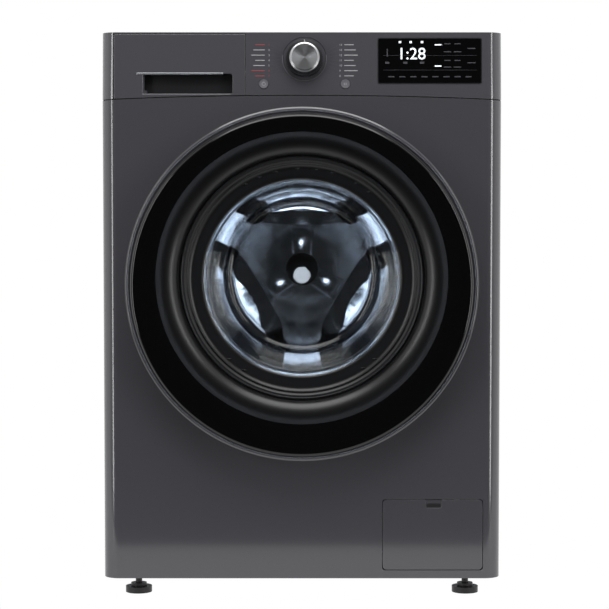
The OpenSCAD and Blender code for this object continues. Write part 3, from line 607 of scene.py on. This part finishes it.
def filter_cover():
    made = round_block("filter_door", cover_low.x, cover_high.x, cover_low.z, cover_high.z, FRONT_Y,
                       FRONT_Y + 0.0025, 0.006)
    notch = round_block("notch", 0.1865, 0.2115, cover_high.z - 0.0125, cover_high.z + 0.01, FRONT_Y - 0.01,
                        FRONT_Y + 0.0018, 0.003)
    carve(made, notch)
    soften(made, 0.0006, 3, 40)
    pins = [slab("lug", (x - 0.005, FRONT_Y + 0.0022, cover_low.z + 0.003), (x + 0.005, FRONT_Y + 0.003, cover_low.z + 0.011)) for x in (0.1375, 0.2575)]
    done(join("filter_door", made, *pins), "filter_cover", "painted_panel", PAINT, "filter_cover", angle=30)
    done(round_block("notch_shadow", 0.1885, 0.2095, cover_high.z - 0.0115, cover_high.z - 0.006, FRONT_Y + 0.0012,
                     FRONT_Y + 0.0017, 0.002), "filter_cover", "satin_black_plastic", SATIN)


# ---- knob, buttons and display ----
def knob():
    """Black skirt with fine ribs under a spun aluminium cap, and a bright mark on the skirt."""
    skirt = rod("knob_skirt", KNOB_R - 0.0007, -0.0116, -0.0006, KNOB_X, KNOB_V, 120)
    middle = Vector((KNOB_X, 0, KNOB_V))
    edit(skirt, faces=lambda p, n: abs(n.y) < 0.1 and (turn_of(p, middle) // 3) % 2)
    bpy.ops.mesh.inset(use_individual=True, thickness=0.0002)
    bpy.ops.transform.shrink_fatten(value=0.0006)
    leave()
    done(lean_back(soften(skirt, 0.0003, 2, 60)), "knob", "satin_black_plastic", KNURL, "programme_knob", angle=20)
    cap = [(0.0228, -0.0110), (0.0228, -0.0160), (0.0222, -0.0172), (0.0205, -0.0182), (0.0201, -0.0205),
           (0.0192, -0.0215), (0.0100, -0.0210), (0.0, -0.0208), (0.0, -0.0110)]
    made = turned("knob_cap", cap, KNOB_V, KNOB_X, 128, closed=True)
    done(lean_back(made), "knob", "spun_aluminium", SPUN, angle=30)
    mark = slab("knob_mark", (KNOB_X - 0.0006, -0.0122, KNOB_V + 0.0232), (KNOB_X + 0.0006, -0.0112, KNOB_V + 0.0270), 0.0002)
    done(lean_back(mark), "knob", "satin_button", PRINT)
    stem = rod("knob_stem", 0.0078, -0.002, 0.0145, KNOB_X, KNOB_V, 32, 0.0006)
    done(lean_back(stem), "knob", "satin_black_plastic", SATIN)
    ring = turned("dial_arc", [(0.0322, -0.0001), (0.0324, -0.0006), (0.0331, -0.0006), (0.0333, -0.0001)], KNOB_V, KNOB_X,
                  128, closed=True)
    carve(ring, slab("upper", (-0.1, -0.01, KNOB_V + 0.006), (0.1, 0.01, 0.2)))
    done(lean_back(ring), "root", "satin_button", BUTTON)


def turn_of(point, middle):
    """Angle in whole degrees of a point about an axis along Y."""
    return round(degrees(atan2(point.z - middle.z, point.x - middle.x)) - 1.5)


def flat_mark(x, v, width, height, lift=0.00025, y=0.0):
    """Thin printed bar on the leaning face, centred sideways and upwards."""
    return slab("mark", (x - width / 2, y - lift, v - height / 2), (x + width / 2, y + 0.0001, v + height / 2))


def line(x0, v0, x1, v1, width=0.0004):
    """Thin printed line between two places of the leaning face."""
    span = Vector((x1 - x0, 0, v1 - v0))
    start()
    bpy.ops.mesh.primitive_cube_add(size=1, location=((x0 + x1) / 2, -0.00005, (v0 + v1) / 2),
                                    rotation=(0, -atan2(span.z, span.x), 0), scale=(span.length, 0.0003, width))
    return settle("line")


def number(text, x, v, size, side="LEFT", y=-0.00005):
    """Plain printed number, made a mesh."""
    start()
    bpy.ops.object.text_add(location=(x, y, v - size * 0.35), rotation=(pi / 2, 0, 0))
    made = bpy.context.view_layer.objects.active
    made.data.body = text
    made.data.size = size
    made.data.align_x = side
    made.data.extrude = 0.0001
    bpy.ops.object.convert(target="MESH")
    return settle("number")


def put(name, parts, material, body="root", slot="satin_button"):
    done(lean_back(join(name, *parts)), body, slot, material)


def programme_marks():
    """Numbered programmes each side of the knob, with a bar and a line to the dial."""
    rows = [0.0795 - 0.0078 * i for i in range(7)]
    plain, red, lines = [], [], []
    for i, v in enumerate(rows):
        for side in (-1, 1):
            x = KNOB_X + side * 0.052
            parts = red if side < 0 and i in (0, 5, 6) else plain
            parts.append(number(str(i + 1 if side < 0 else 14 - i), x, v, 0.0042, "RIGHT" if side < 0 else "LEFT"))
            parts.append(flat_mark(x + side * (0.0145 + 0.0015 * (i % 3)), v, 0.014 + 0.003 * (i % 3), 0.0011))
            reach = 0.036
            rise = (v - KNOB_V) * 0.55
            lines.append(line(x - side * 0.001, v, KNOB_X + side * sqrt(reach ** 2 - rise ** 2), KNOB_V + rise))
    put("programme_numbers", plain, PRINT)
    put("programme_numbers_red", red, RED_PRINT)
    put("programme_lines", lines, DIM_PRINT)


def buttons():
    """Round buttons with a fine rim, and plain pictograms beside and on them."""
    for name, x in BUTTON_X.items():
        dish = [(0.0070, 0.0060), (0.0070, -0.0004), (0.0067, -0.0009), (0.0060, -0.0010), (0.0050, -0.0007),
                (0.0, -0.0006), (0.0, 0.0060)]
        made = turned("button_" + name, dish, BUTTON_V, x, 64, closed=True)
        flange = rod("flange", 0.009, 0.0065, 0.009, x, BUTTON_V, 48)
        made = join("button_" + name, made, flange)
        done(lean_back(made), name, "satin_button", BUTTON, name, angle=30)
        if name == "power_button":
            ring = turned("ring", [(0.0022, -0.0005), (0.0022, -0.0009), (0.0027, -0.0009), (0.0027, -0.0005)], BUTTON_V, x,
                          40, closed=True)
            carve(ring, slab("gap", (x - 0.0009, -0.01, BUTTON_V), (x + 0.0009, 0.01, BUTTON_V + 0.01)))
            parts = [ring, flat_mark(x, BUTTON_V + 0.0022, 0.0005, 0.0026, 0.0002, -0.00072)]
        else:
            parts = [flat_mark(x + d, BUTTON_V, 0.0006, 0.0034, 0.0002, -0.00072) for d in (-0.0018, -0.0005, 0.0016)]
        put("sign_" + name, parts, PRINT, name)


def display():
    """Lit time, rows of small signs and dim bars behind the black window, with a fine lighter rim."""
    x0, x1, v0, v1 = window_low.x, window_high.x, 0.0211, 0.0894
    rim = round_block("window_rim", x0 - 0.0004, x1 + 0.0004, v0 - 0.0004, v1 + 0.0004, -0.0004, 0.0012, 0.0025)
    carve(rim, round_block("inside", x0 + 0.0009, x1 - 0.0009, v0 + 0.0009, v1 - 0.0009, -0.01, 0.01, 0.002))
    put("window_rim", [rim], KNURL)
    y = 0.0002
    lit = [number("1:28", x0 + 0.029, 0.0665, 0.0250, "LEFT", y)]
    lit += [flat_mark(x0 + d, 0.0835, 0.0035, 0.0030, 0.0003, y) for d in (0.033, 0.049, 0.066)]
    lit += [flat_mark(x0 + d, v, w, 0.0016, 0.0003, y) for d, v, w in ((0.090, 0.0795, 0.010), (0.090, 0.0475, 0.010))]
    put("display_lit", lit, LIT)
    dim = [flat_mark(x0 + 0.014, 0.0675, 0.0015, 0.012, 0.0003, y)]
    dim += [flat_mark(x0 + d, 0.0525, 0.006, 0.0030, 0.0003, y) for d in (0.014, 0.041, 0.066)]
    dim += [flat_mark(x0 + d, v, 0.009 + 0.002 * (i % 2), 0.0013, 0.0003, y) for d in (0.104, 0.119)
            for i, v in enumerate((0.081, 0.069, 0.056, 0.046))]
    dim += [flat_mark(x0 + 0.140, v, 0.012, 0.0014, 0.0003, y) for v in (0.074, 0.0525)]
    dim += [flat_mark(x0 + 0.078, v, 0.140, 0.0003, 0.0003, y) for v in (0.0635, 0.0415)]
    dim += [flat_mark(x0 + 0.020 + 0.0165 * i, 0.0315, 0.009, 0.0016, 0.0003, y) for i in range(8)]
    put("display_dim", dim, DIM_PRINT)


def scoop_details():
    """Dark sheet on the back wall of the finger scoop, painted shade for the deep pocket, and a pale lower ledge, a
    painted highlight on the pocket's floor.
    """
    # dark sheet: painted shade at the back of the pocket
    back = slab("scoop_painted_shade_sheet", (-0.2600, 0.0144, 0.0065), (-0.1045, 0.0152, 0.0480), 0.0002)
    done(lean_back(back), "drawer", "satin_black_plastic", SATIN)
    # pale strip: painted highlight on the pocket's floor
    ledge = slab("scoop_painted_highlight_ledge", (-0.2440, 0.0006, 0.0050), (-0.1060, 0.0135, 0.0062), 0.0005)
    done(lean_back(ledge), "drawer", "satin_button", BUTTON)


# ---- door ----
def door():
    """Glossy ring: flat outer band, a smooth roll down to the bezel, and a rounded outer edge."""
    edge = [(DOOR_R - 0.006 + r, DOOR_Y + 0.006 + y, DOOR_Z) for r, y in arc(0, 0, 0.006, 0, -90, 8)]
    count = 14
    fall = []
    for i in range(count + 1):
        t = radians(90 * i / count)
        fall.append((0.216 - 0.034 * sin(t), FRONT_Y - 0.030 - 0.020 * cos(t), DRUM_Z))
    join_r = fall[0][0]
    band = [(DOOR_R, ring_high.y, DOOR_Z)] + edge + [fall[0], (join_r, DOOR_Y + 0.003, DRUM_Z)]
    band += [(DOOR_R - 0.006, DOOR_Y + 0.003, DOOR_Z), (DOOR_R - 0.003, DOOR_Y + 0.006, DOOR_Z),
             (DOOR_R - 0.003, ring_high.y, DOOR_Z)]
    made = turned("door_ring_gloss", band, DOOR_Z, steps=256, closed=True)
    notches = [slab("ear_notch", (-0.273, FRONT_Y - 0.0315, DOOR_Z + s * 0.039 - 0.007),
                    (-0.233, FRONT_Y - 0.02, DOOR_Z + s * 0.039 + 0.007)) for s in (-1, 1)]
    carve(made, *notches)
    done(made, "door", "gloss_black", GLOSS, "door_ring", angle=40)
    wall = [(0.182, FRONT_Y - 0.027), (0.185, FRONT_Y - 0.027), (0.188, FRONT_Y - 0.036), (join_r, DOOR_Y + 0.003)]
    done(turned("door_ring_roll", fall + wall, DRUM_Z, steps=256, closed=True), "door", "gloss_black", SHEEN,
         angle=40)


def door_bezel():
    """Stepped surround of the glass: outer rim, a groove, a raised bead and a soft inner lip."""
    f = FRONT_Y
    outline = [(0.1814, f - 0.0290), (0.1812, f - 0.0306), (0.1802, f - 0.0312), (0.1786, f - 0.0310),
               (0.1772, f - 0.0298), (0.1752, f - 0.0280), (0.1722, f - 0.0276), (0.1708, f - 0.0284),
               (0.1700, f - 0.0292), (0.1688, f - 0.0292), (0.1680, f - 0.0284), (0.1672, f - 0.0272),
               (0.1620, f - 0.0262), (0.1540, f - 0.0250), (0.1495, f - 0.0243), (0.1474, f - 0.0236),
               (0.1468, f - 0.0226), (0.1470, f - 0.0210), (0.1760, f - 0.0225), (0.1812, f - 0.0270)]
    done(turned("door_bezel", outline, DRUM_Z, steps=224, closed=True), "door", "satin_black_plastic", SHEEN,
         angle=50)
    places = [74, 82, 92, 104, 113, 121, 60, 52, 238, 228, 304, 312]
    clips = [slab("clip", (0.1625 * cos(radians(a)) - 0.0035, f - 0.0272, DRUM_Z + 0.1625 * sin(radians(a)) - 0.0012),
                  (0.1625 * cos(radians(a)) + 0.0035, f - 0.0258, DRUM_Z + 0.1625 * sin(radians(a)) + 0.0012), 0.0005)
             for a in places]
    done(join("bezel_clips", *clips), "door", "satin_black_plastic", GLOSS)


def bowl():
    """Pressed glass bowl: rim, tapering wall, round heel and a gently domed bottom."""
    f = FRONT_Y
    heel = [(0.1055 + x, y) for x, y in arc(0, f + 0.0800, 0.0200, 8, 88, 8)]
    bottom = [(0.1050 - 0.0150 * i, f + 0.0995 + 0.0110 * (1 - ((7 - i) / 7) ** 2)) for i in range(1, 7)]
    outer = [(0.1490, f - 0.0185), (0.1505, f - 0.0175), (0.1508, f - 0.0100), (0.1475, f - 0.0055),
             (0.1440, f + 0.0100), (0.1350, f + 0.0500)] + heel + bottom + [(0.0, f + 0.1105)]
    thick = 0.0050
    inner = [(0.0, f + 0.1105 - thick)] + [(r, y - thick) for r, y in reversed(bottom)]
    inner += [(r - 0.0040, y - 0.0042) for r, y in reversed(heel)]
    inner += [(0.1300, f + 0.0495), (0.1390, f + 0.0095), (0.1420, f - 0.0055), (0.1455, f - 0.0165),
              (0.1472, f - 0.0184)]
    done(turned("glass_bowl", outer + inner, DRUM_Z, steps=192, closed=True), "door", "window_glass", GLASS,
         "door_glass", angle=60)


def gasket():
    """Bellows from the front panel to the tub, with soft folds and a lip that seals on the glass."""
    f = FRONT_Y
    outline = [(0.1535, f + 0.0035), (0.1528, f + 0.0015), (0.1540, f - 0.0030), (0.1565, f - 0.0045),
               (0.1760, f - 0.0045), (0.1770, f - 0.0035), (0.1770, f - 0.0003), (0.1697, f - 0.0003),
               (0.1697, f + 0.0018), (0.1768, f + 0.0018), (0.1770, f + 0.0060), (0.1675, f + 0.0072),
               (0.1665, f + 0.0120), (0.1672, f + 0.0200), (0.1740, f + 0.0240), (0.1795, f + 0.0275),
               (0.1810, f + 0.0320), (0.1800, f + 0.0370), (0.1790, f + 0.0420), (0.1788, f + 0.0610),
               (0.1736, f + 0.0614), (0.1736, f + 0.0532), (0.1676, f + 0.0532), (0.1674, f + 0.0612),
               (0.1632, f + 0.0610), (0.1634, f + 0.0450), (0.1660, f + 0.0420), (0.1735, f + 0.0385),
               (0.1760, f + 0.0350), (0.1758, f + 0.0310), (0.1720, f + 0.0280), (0.1625, f + 0.0245),
               (0.1602, f + 0.0200), (0.1598, f + 0.0140), (0.1580, f + 0.0105)]
    made = turned("gasket_bellows", outline, DRUM_Z, steps=144, closed=True)
    done(made, None, "grey_rubber", RUBBER, "door_gasket", angle=60)
    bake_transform(made)


# ---- drum ----
LOBES = (90, 210, 330)


def about_axis(piece, angle, x=0.0, z=DRUM_Z):
    """Turns a piece about an axis along Y, anticlockwise as seen from the front."""
    spin = Matrix.Translation((x, 0, z)) @ Matrix.Rotation(-radians(angle), 4, "Y") @ Matrix.Translation((-x, 0, -z))
    piece.data.transform(spin)
    return piece


def drum_shell():
    """Rolled wall with rows of small holes, and a smooth margin where it joins the ends."""
    rows = 16
    depth = shell_high.y - shell_low.y
    levels = [shell_low.y + depth * i / rows for i in range(rows + 1)]
    made = turned("perforated_shell", [(DRUM_R - 0.0008, y) for y in levels], steps=72)
    margin = depth / rows
    edit(made, faces=lambda p, n: shell_low.y + margin < p.y < shell_high.y - margin)
    bpy.ops.mesh.inset(use_individual=True, thickness=0.0078)
    bpy.ops.mesh.delete(type="FACE")
    leave()
    modify(made, "SUBSURF", levels=1, render_levels=1)
    modify(made, "SOLIDIFY", thickness=0.0010, offset=0.0)
    done(made, "drum", "stainless_drum", SHELL_STEEL, "drum_shell", angle=40)


def drum_mouth():
    """Rolled front ring of the drum, from the mouth's curled lip to the shell."""
    y = DRUM_FRONT_Y
    outline = [(0.1540, y + 0.0090), (0.1540, y + 0.0020), (0.1548, y + 0.0004), (0.1565, y), (0.1900, y - 0.0002),
               (0.2240, y), (0.2300, y + 0.0020), (0.2376, y + 0.0085), (0.2384, y + 0.0120), (0.2384, y + 0.0220),
               (0.2370, y + 0.0220), (0.2370, y + 0.0125), (0.2292, y + 0.0040), (0.2240, y + 0.0016),
               (0.1900, y + 0.0014), (0.1568, y + 0.0014), (0.1556, y + 0.0028), (0.1554, y + 0.0090)]
    done(turned("drum_mouth_ring", outline, closed=True, steps=160), "drum", "stainless_drum", PRESSED_STEEL,
         "drum_front", angle=50)


def drum_lobe(angle):
    """Raised lens: sloping walls round a crown that faces a little to the axis."""
    y = DRUM_BACK_Y - 0.0012
    tilt = 0.038
    high = [(r, y - 0.0090 - tilt * (r - 0.129)) for r in (0.192, 0.12, 0.06, 0.0)]
    rim = [(0.228, y), (0.2262, y - 0.0006), (0.198, y - 0.0098)]
    made = turned("drum_lobe", [(0.0, y)] + rim + high, steps=160)
    slope = [(0.0, y - 0.0001), (0.200, y - 0.0001), (0.1985, y - 0.0008), (0.162, y - 0.0090), (0.120, y - 0.0200),
             (0.0, y - 0.0200)]
    carve(made, turned("slope", slope, DRUM_Z + 0.265, steps=200), operation="INTERSECT")
    soften(made, 0.0014, 3, 8)
    return about_axis(made, angle - 90)


def drum_back():
    """Pressed rear disc: shallow cone round the hub, three flat pads, three lobes and a domed hub cap."""
    y = DRUM_BACK_Y
    disc = turned("drum_rear_disc", [(0.020, y - 0.0088), (0.030, y - 0.0085), (0.070, y - 0.0045), (0.100, y - 0.0020),
                                     (0.120, y - 0.0015), (0.234, y - 0.0015), (0.2372, y - 0.0030), (0.2384, y - 0.0060),
                                     (0.2390, y - 0.0060), (0.2384, y), (0.030, y), (0.020, y - 0.0010)],
                  closed=True, steps=160)
    done(disc, "drum", "stainless_drum", PRESSED_STEEL, "drum_back", angle=30)
    lobes = [drum_lobe(a) for a in LOBES]
    done(join("drum_lobes", *lobes), "drum", "stainless_drum", PRESSED_STEEL, angle=24)
    pads = []
    for a in LOBES:
        pad = slab("pad", (-0.0205, y - 0.0102, DRUM_Z + 0.018), (0.0205, y - 0.003, DRUM_Z + 0.072))
        edit(pad, faces=lambda p, n: n.z < -0.9)
        bpy.ops.transform.resize(value=(0.72, 1, 1), center_override=(0, y, DRUM_Z))
        leave()
        soften(pad, 0.0025, 4, 40)
        pads.append(about_axis(pad, a - 90))
    done(join("hub_pads", *pads), "drum", "stainless_drum", PRESSED_STEEL, angle=30)
    dome = [(0.028 * cos(radians(t)), y - 0.0085 - 0.0085 * sin(radians(t))) for t in range(0, 90, 10)]
    # black material on the steel hub cap: a painted dark reflection
    cap = turned("hub_cap_painted_dark_reflection", dome + [(0.0, y - 0.0170), (0.0, y - 0.0080), (0.028, y - 0.0080)], closed=True, steps=96)
    done(cap, "drum", "stainless_drum", SATIN, angle=50)


def lifters():
    """Three rounded paddles, each with a row of drip holes."""
    made = []
    for a in (30, 150, 270):
        paddle = slab("paddle", (0.1965, -0.152, DRUM_Z - 0.030), (0.2375, 0.128, DRUM_Z + 0.030))
        edit(paddle, faces=lambda p, n: n.x < -0.9)
        bpy.ops.transform.resize(value=(1, 0.86, 0.34), center_override=(0.1965, -0.012, DRUM_Z))
        leave()
        edit(paddle, faces=lambda p, n: n.x < 0.5)
        leave()
        soften(paddle, 0.007, 6, 20)
        carve(paddle, *[rod("drip", 0.0022, y - 0.004, y + 0.004, 0.215, DRUM_Z, 12) for y in (-0.16, 0.135)])
        made.append(about_axis(paddle, a))
    done(join("drum_paddles", *made), "drum", "lifter_plastic", PADDLE, "drum_lifters", angle=40)


# ---- soft parts between the cabinet and the tub ----
def flexible(name, material, slot):
    """Copy of a soft part that bends or stretches between its fixed end and the tub."""
    made = nodes[name].copy()
    made.data = nodes[name].data.copy()
    made.name = name + "_flexing"
    made.data.name = made.name
    bpy.context.scene.collection.objects.link(made)
    edit(made, faces=lambda middle, way: True)
    bpy.ops.mesh.remove_doubles(threshold=1e-5)
    leave()
    for key in [k for k in made.keys() if k.startswith("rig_")]:
        del made[key]
    made.parent = None
    done(made, None, slot, material, name, angle=40)
    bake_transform(made)


# ---- carried-over nodes ----
KEPT = {
    "rear_panel": ZINC, "rear_cover": ZINC, "base_frame": ZINC, "foot_lock_nuts": PLATED, "drum_spider": ZINC,
    "rotor": ZINC, "suspension_springs": PLATED, "display_window": GLOSS, "door_frame": SATIN,
    "mains_gland": SATIN, "dispenser_hose": SATIN, "sump_hose": SATIN, "drain_tube": SATIN,
    "damper_cylinders": SATIN, "shaft_seal": SATIN, "foot_front_left": SATIN, "foot_front_right": SATIN,
    "foot_rear_left": SATIN, "foot_rear_right": SATIN, "door_glass": GLASS, "dispenser_housing": GREY,
    "drawer_tray": GREY, "tub_front": GREY, "tub_rear": GREY, "pump_housing": GREY, "drain_outlet": GREY,
    "transit_caps": GREY, "drain_filter": GREY, "pump_impeller": GREY, "inlet_valve": WHITE, "door_lock": WHITE,
    "drum_shell": SHELL_STEEL, "drum_front": PRESSED_STEEL, "drum_back": PRESSED_STEEL, "hinge_bracket": PLATED,
    "door_hook": PLATED, "cabinet_screws": PLATED, "tub_bolts": PLATED, "damper_rods": PLATED,
    "drive_shaft": PLATED, "drum_bearings": PLATED, "heater": PLATED, "programme_knob": SPUN,
    "power_button": BUTTON, "start_button": BUTTON, "drum_lifters": PADDLE, "door_gasket": RUBBER,
    "upper_counterweight": CONCRETE, "lower_counterweight": CONCRETE, "stator": COPPER, "pump_motor": SATIN,
    "control_board": BOARD,
}
for name, material in KEPT.items():
    nodes[name].data.materials.clear()
    nodes[name].data.materials.append(material)

front_panel()
side_panel(-1, "left_side_panel")
side_panel(1, "right_side_panel")
lid()
control_panel()
drawer_front()
filter_cover()
knob()
buttons()
display()
programme_marks()
scoop_details()
door()
door_bezel()
bowl()
gasket()
drum_shell()
drum_mouth()
drum_back()
lifters()
flexible("suspension_springs", PLATED, "galvanised_sheet")
flexible("dispenser_hose", SATIN, "satin_black_plastic")
flexible("sump_hose", SATIN, "satin_black_plastic")


# ---- stage, light and camera ----
def stage():
    """Pale floor that shows white to the camera and takes the machine's shadow."""
    white = bpy.data.materials.new("white_sweep")
    white.use_nodes = True
    tree = white.node_tree
    path = add(tree, "LightPath")
    seen = shown(tree, path)
    matte = tree.nodes["Principled BSDF"]
    matte.inputs["Base Color"].default_value = linear("e8e8e8")
    matte.inputs["Roughness"].default_value = 0.9
    glow = add(tree, "Emission", {"Color": linear("ffffff"), "Strength": 1.0})
    mixed = add(tree, "MixShader", {0: seen.outputs[0], 1: matte.outputs[0], 2: glow.outputs[0]})
    tree.links.new(mixed.outputs[0], tree.nodes["Material Output"].inputs["Surface"])
    start()
    bpy.ops.mesh.primitive_plane_add(size=1, location=(0, 3.3, -0.0005), scale=(1, 1, 1))
    floor = bpy.context.view_layer.objects.active
    floor.name = "floor"
    floor.scale = (14, 8, 1)
    floor.data.materials.append(white)


def shown(tree, path):
    """One where a camera, glossy or transmission ray looks, and nought for light that falls on matte."""
    through = add(tree, "Math", {0: path.outputs["Is Camera Ray"], 1: path.outputs["Is Transmission Ray"]},
                  operation="MAXIMUM")
    return add(tree, "Math", {0: through.outputs[0], 1: path.outputs["Is Glossy Ray"]}, operation="MAXIMUM")


def softbox(name, place, target, width, height, power):
    lamp = bpy.data.lights.new(name, "AREA")
    lamp.shape = "RECTANGLE"
    lamp.size = width
    lamp.size_y = height
    lamp.energy = power
    made = bpy.data.objects.new(name, lamp)
    bpy.context.scene.collection.objects.link(made)
    made.location = place
    made.rotation_euler = (Vector(target) - Vector(place)).to_track_quat("-Z", "Y").to_euler()
    return made


def light():
    world = bpy.data.worlds.new("studio")
    bpy.context.scene.world = world
    world.use_nodes = True
    tree = world.node_tree
    path = add(tree, "LightPath")
    way = add(tree, "SeparateXYZ", {"Vector": add(tree, "TexCoord").outputs["Generated"]}).outputs["Y"]
    room = add(tree, "MapRange", {"Value": way, "From Min": -0.85, "From Max": -0.05, "To Min": 0.03, "To Max": 1.0},
               interpolation_type="SMOOTHSTEP")
    sight = add(tree, "MapRange", {"Value": shown(tree, path).outputs[0], "To Min": 0.12, "To Max": 1.0})
    dim = add(tree, "Math", {0: sight.outputs[0], 1: room.outputs[0]}, operation="MULTIPLY")
    matte = add(tree, "MapRange", {"Value": shown(tree, path).outputs[0], "To Min": 0.12})
    tree.links.new(dim.outputs[0], matte.inputs["To Max"])
    level = add(tree, "MapRange", {"Value": path.outputs["Is Camera Ray"], "To Max": 1.0})
    tree.links.new(matte.outputs[0], level.inputs["To Min"])
    background = tree.nodes["Background"]
    background.inputs["Color"].default_value = linear("ffffff")
    tree.links.new(level.outputs[0], background.inputs["Strength"])
    middle = (0, -0.2, 0.45)
    softbox("overhead", (0, -1.3, 2.6), middle, 2.4, 1.6, 46)
    softbox("left_strip", (-2.2, -2.15, 0.9), middle, 0.40, 2.4, 20)
    softbox("right_strip", (2.2, -2.15, 0.9), middle, 0.40, 2.4, 20)
    front = softbox("front_round", (0.0, -3.25, 0.377), (0, DRUM_BACK_Y, DRUM_Z), 0.27, 0.27, 1.8)
    front.data.shape = "DISK"
    front.data.color = linear("dfe9f7")[:3]


def camera():
    lens = bpy.data.cameras.new("camera")
    made = bpy.data.objects.new("camera", lens)
    bpy.context.scene.collection.objects.link(made)
    aim = Vector((0.004, FRONT_Y, 0.4427))
    made.location = (0.004, FRONT_Y - 2.9, 0.59)
    made.rotation_euler = (aim - made.location).to_track_quat("-Z", "Y").to_euler()
    lens.sensor_width = 36
    lens.lens = 114.3
    bpy.context.scene.camera = made


stage()
light()
camera()
bpy.context.scene.view_settings.view_transform = "Standard"
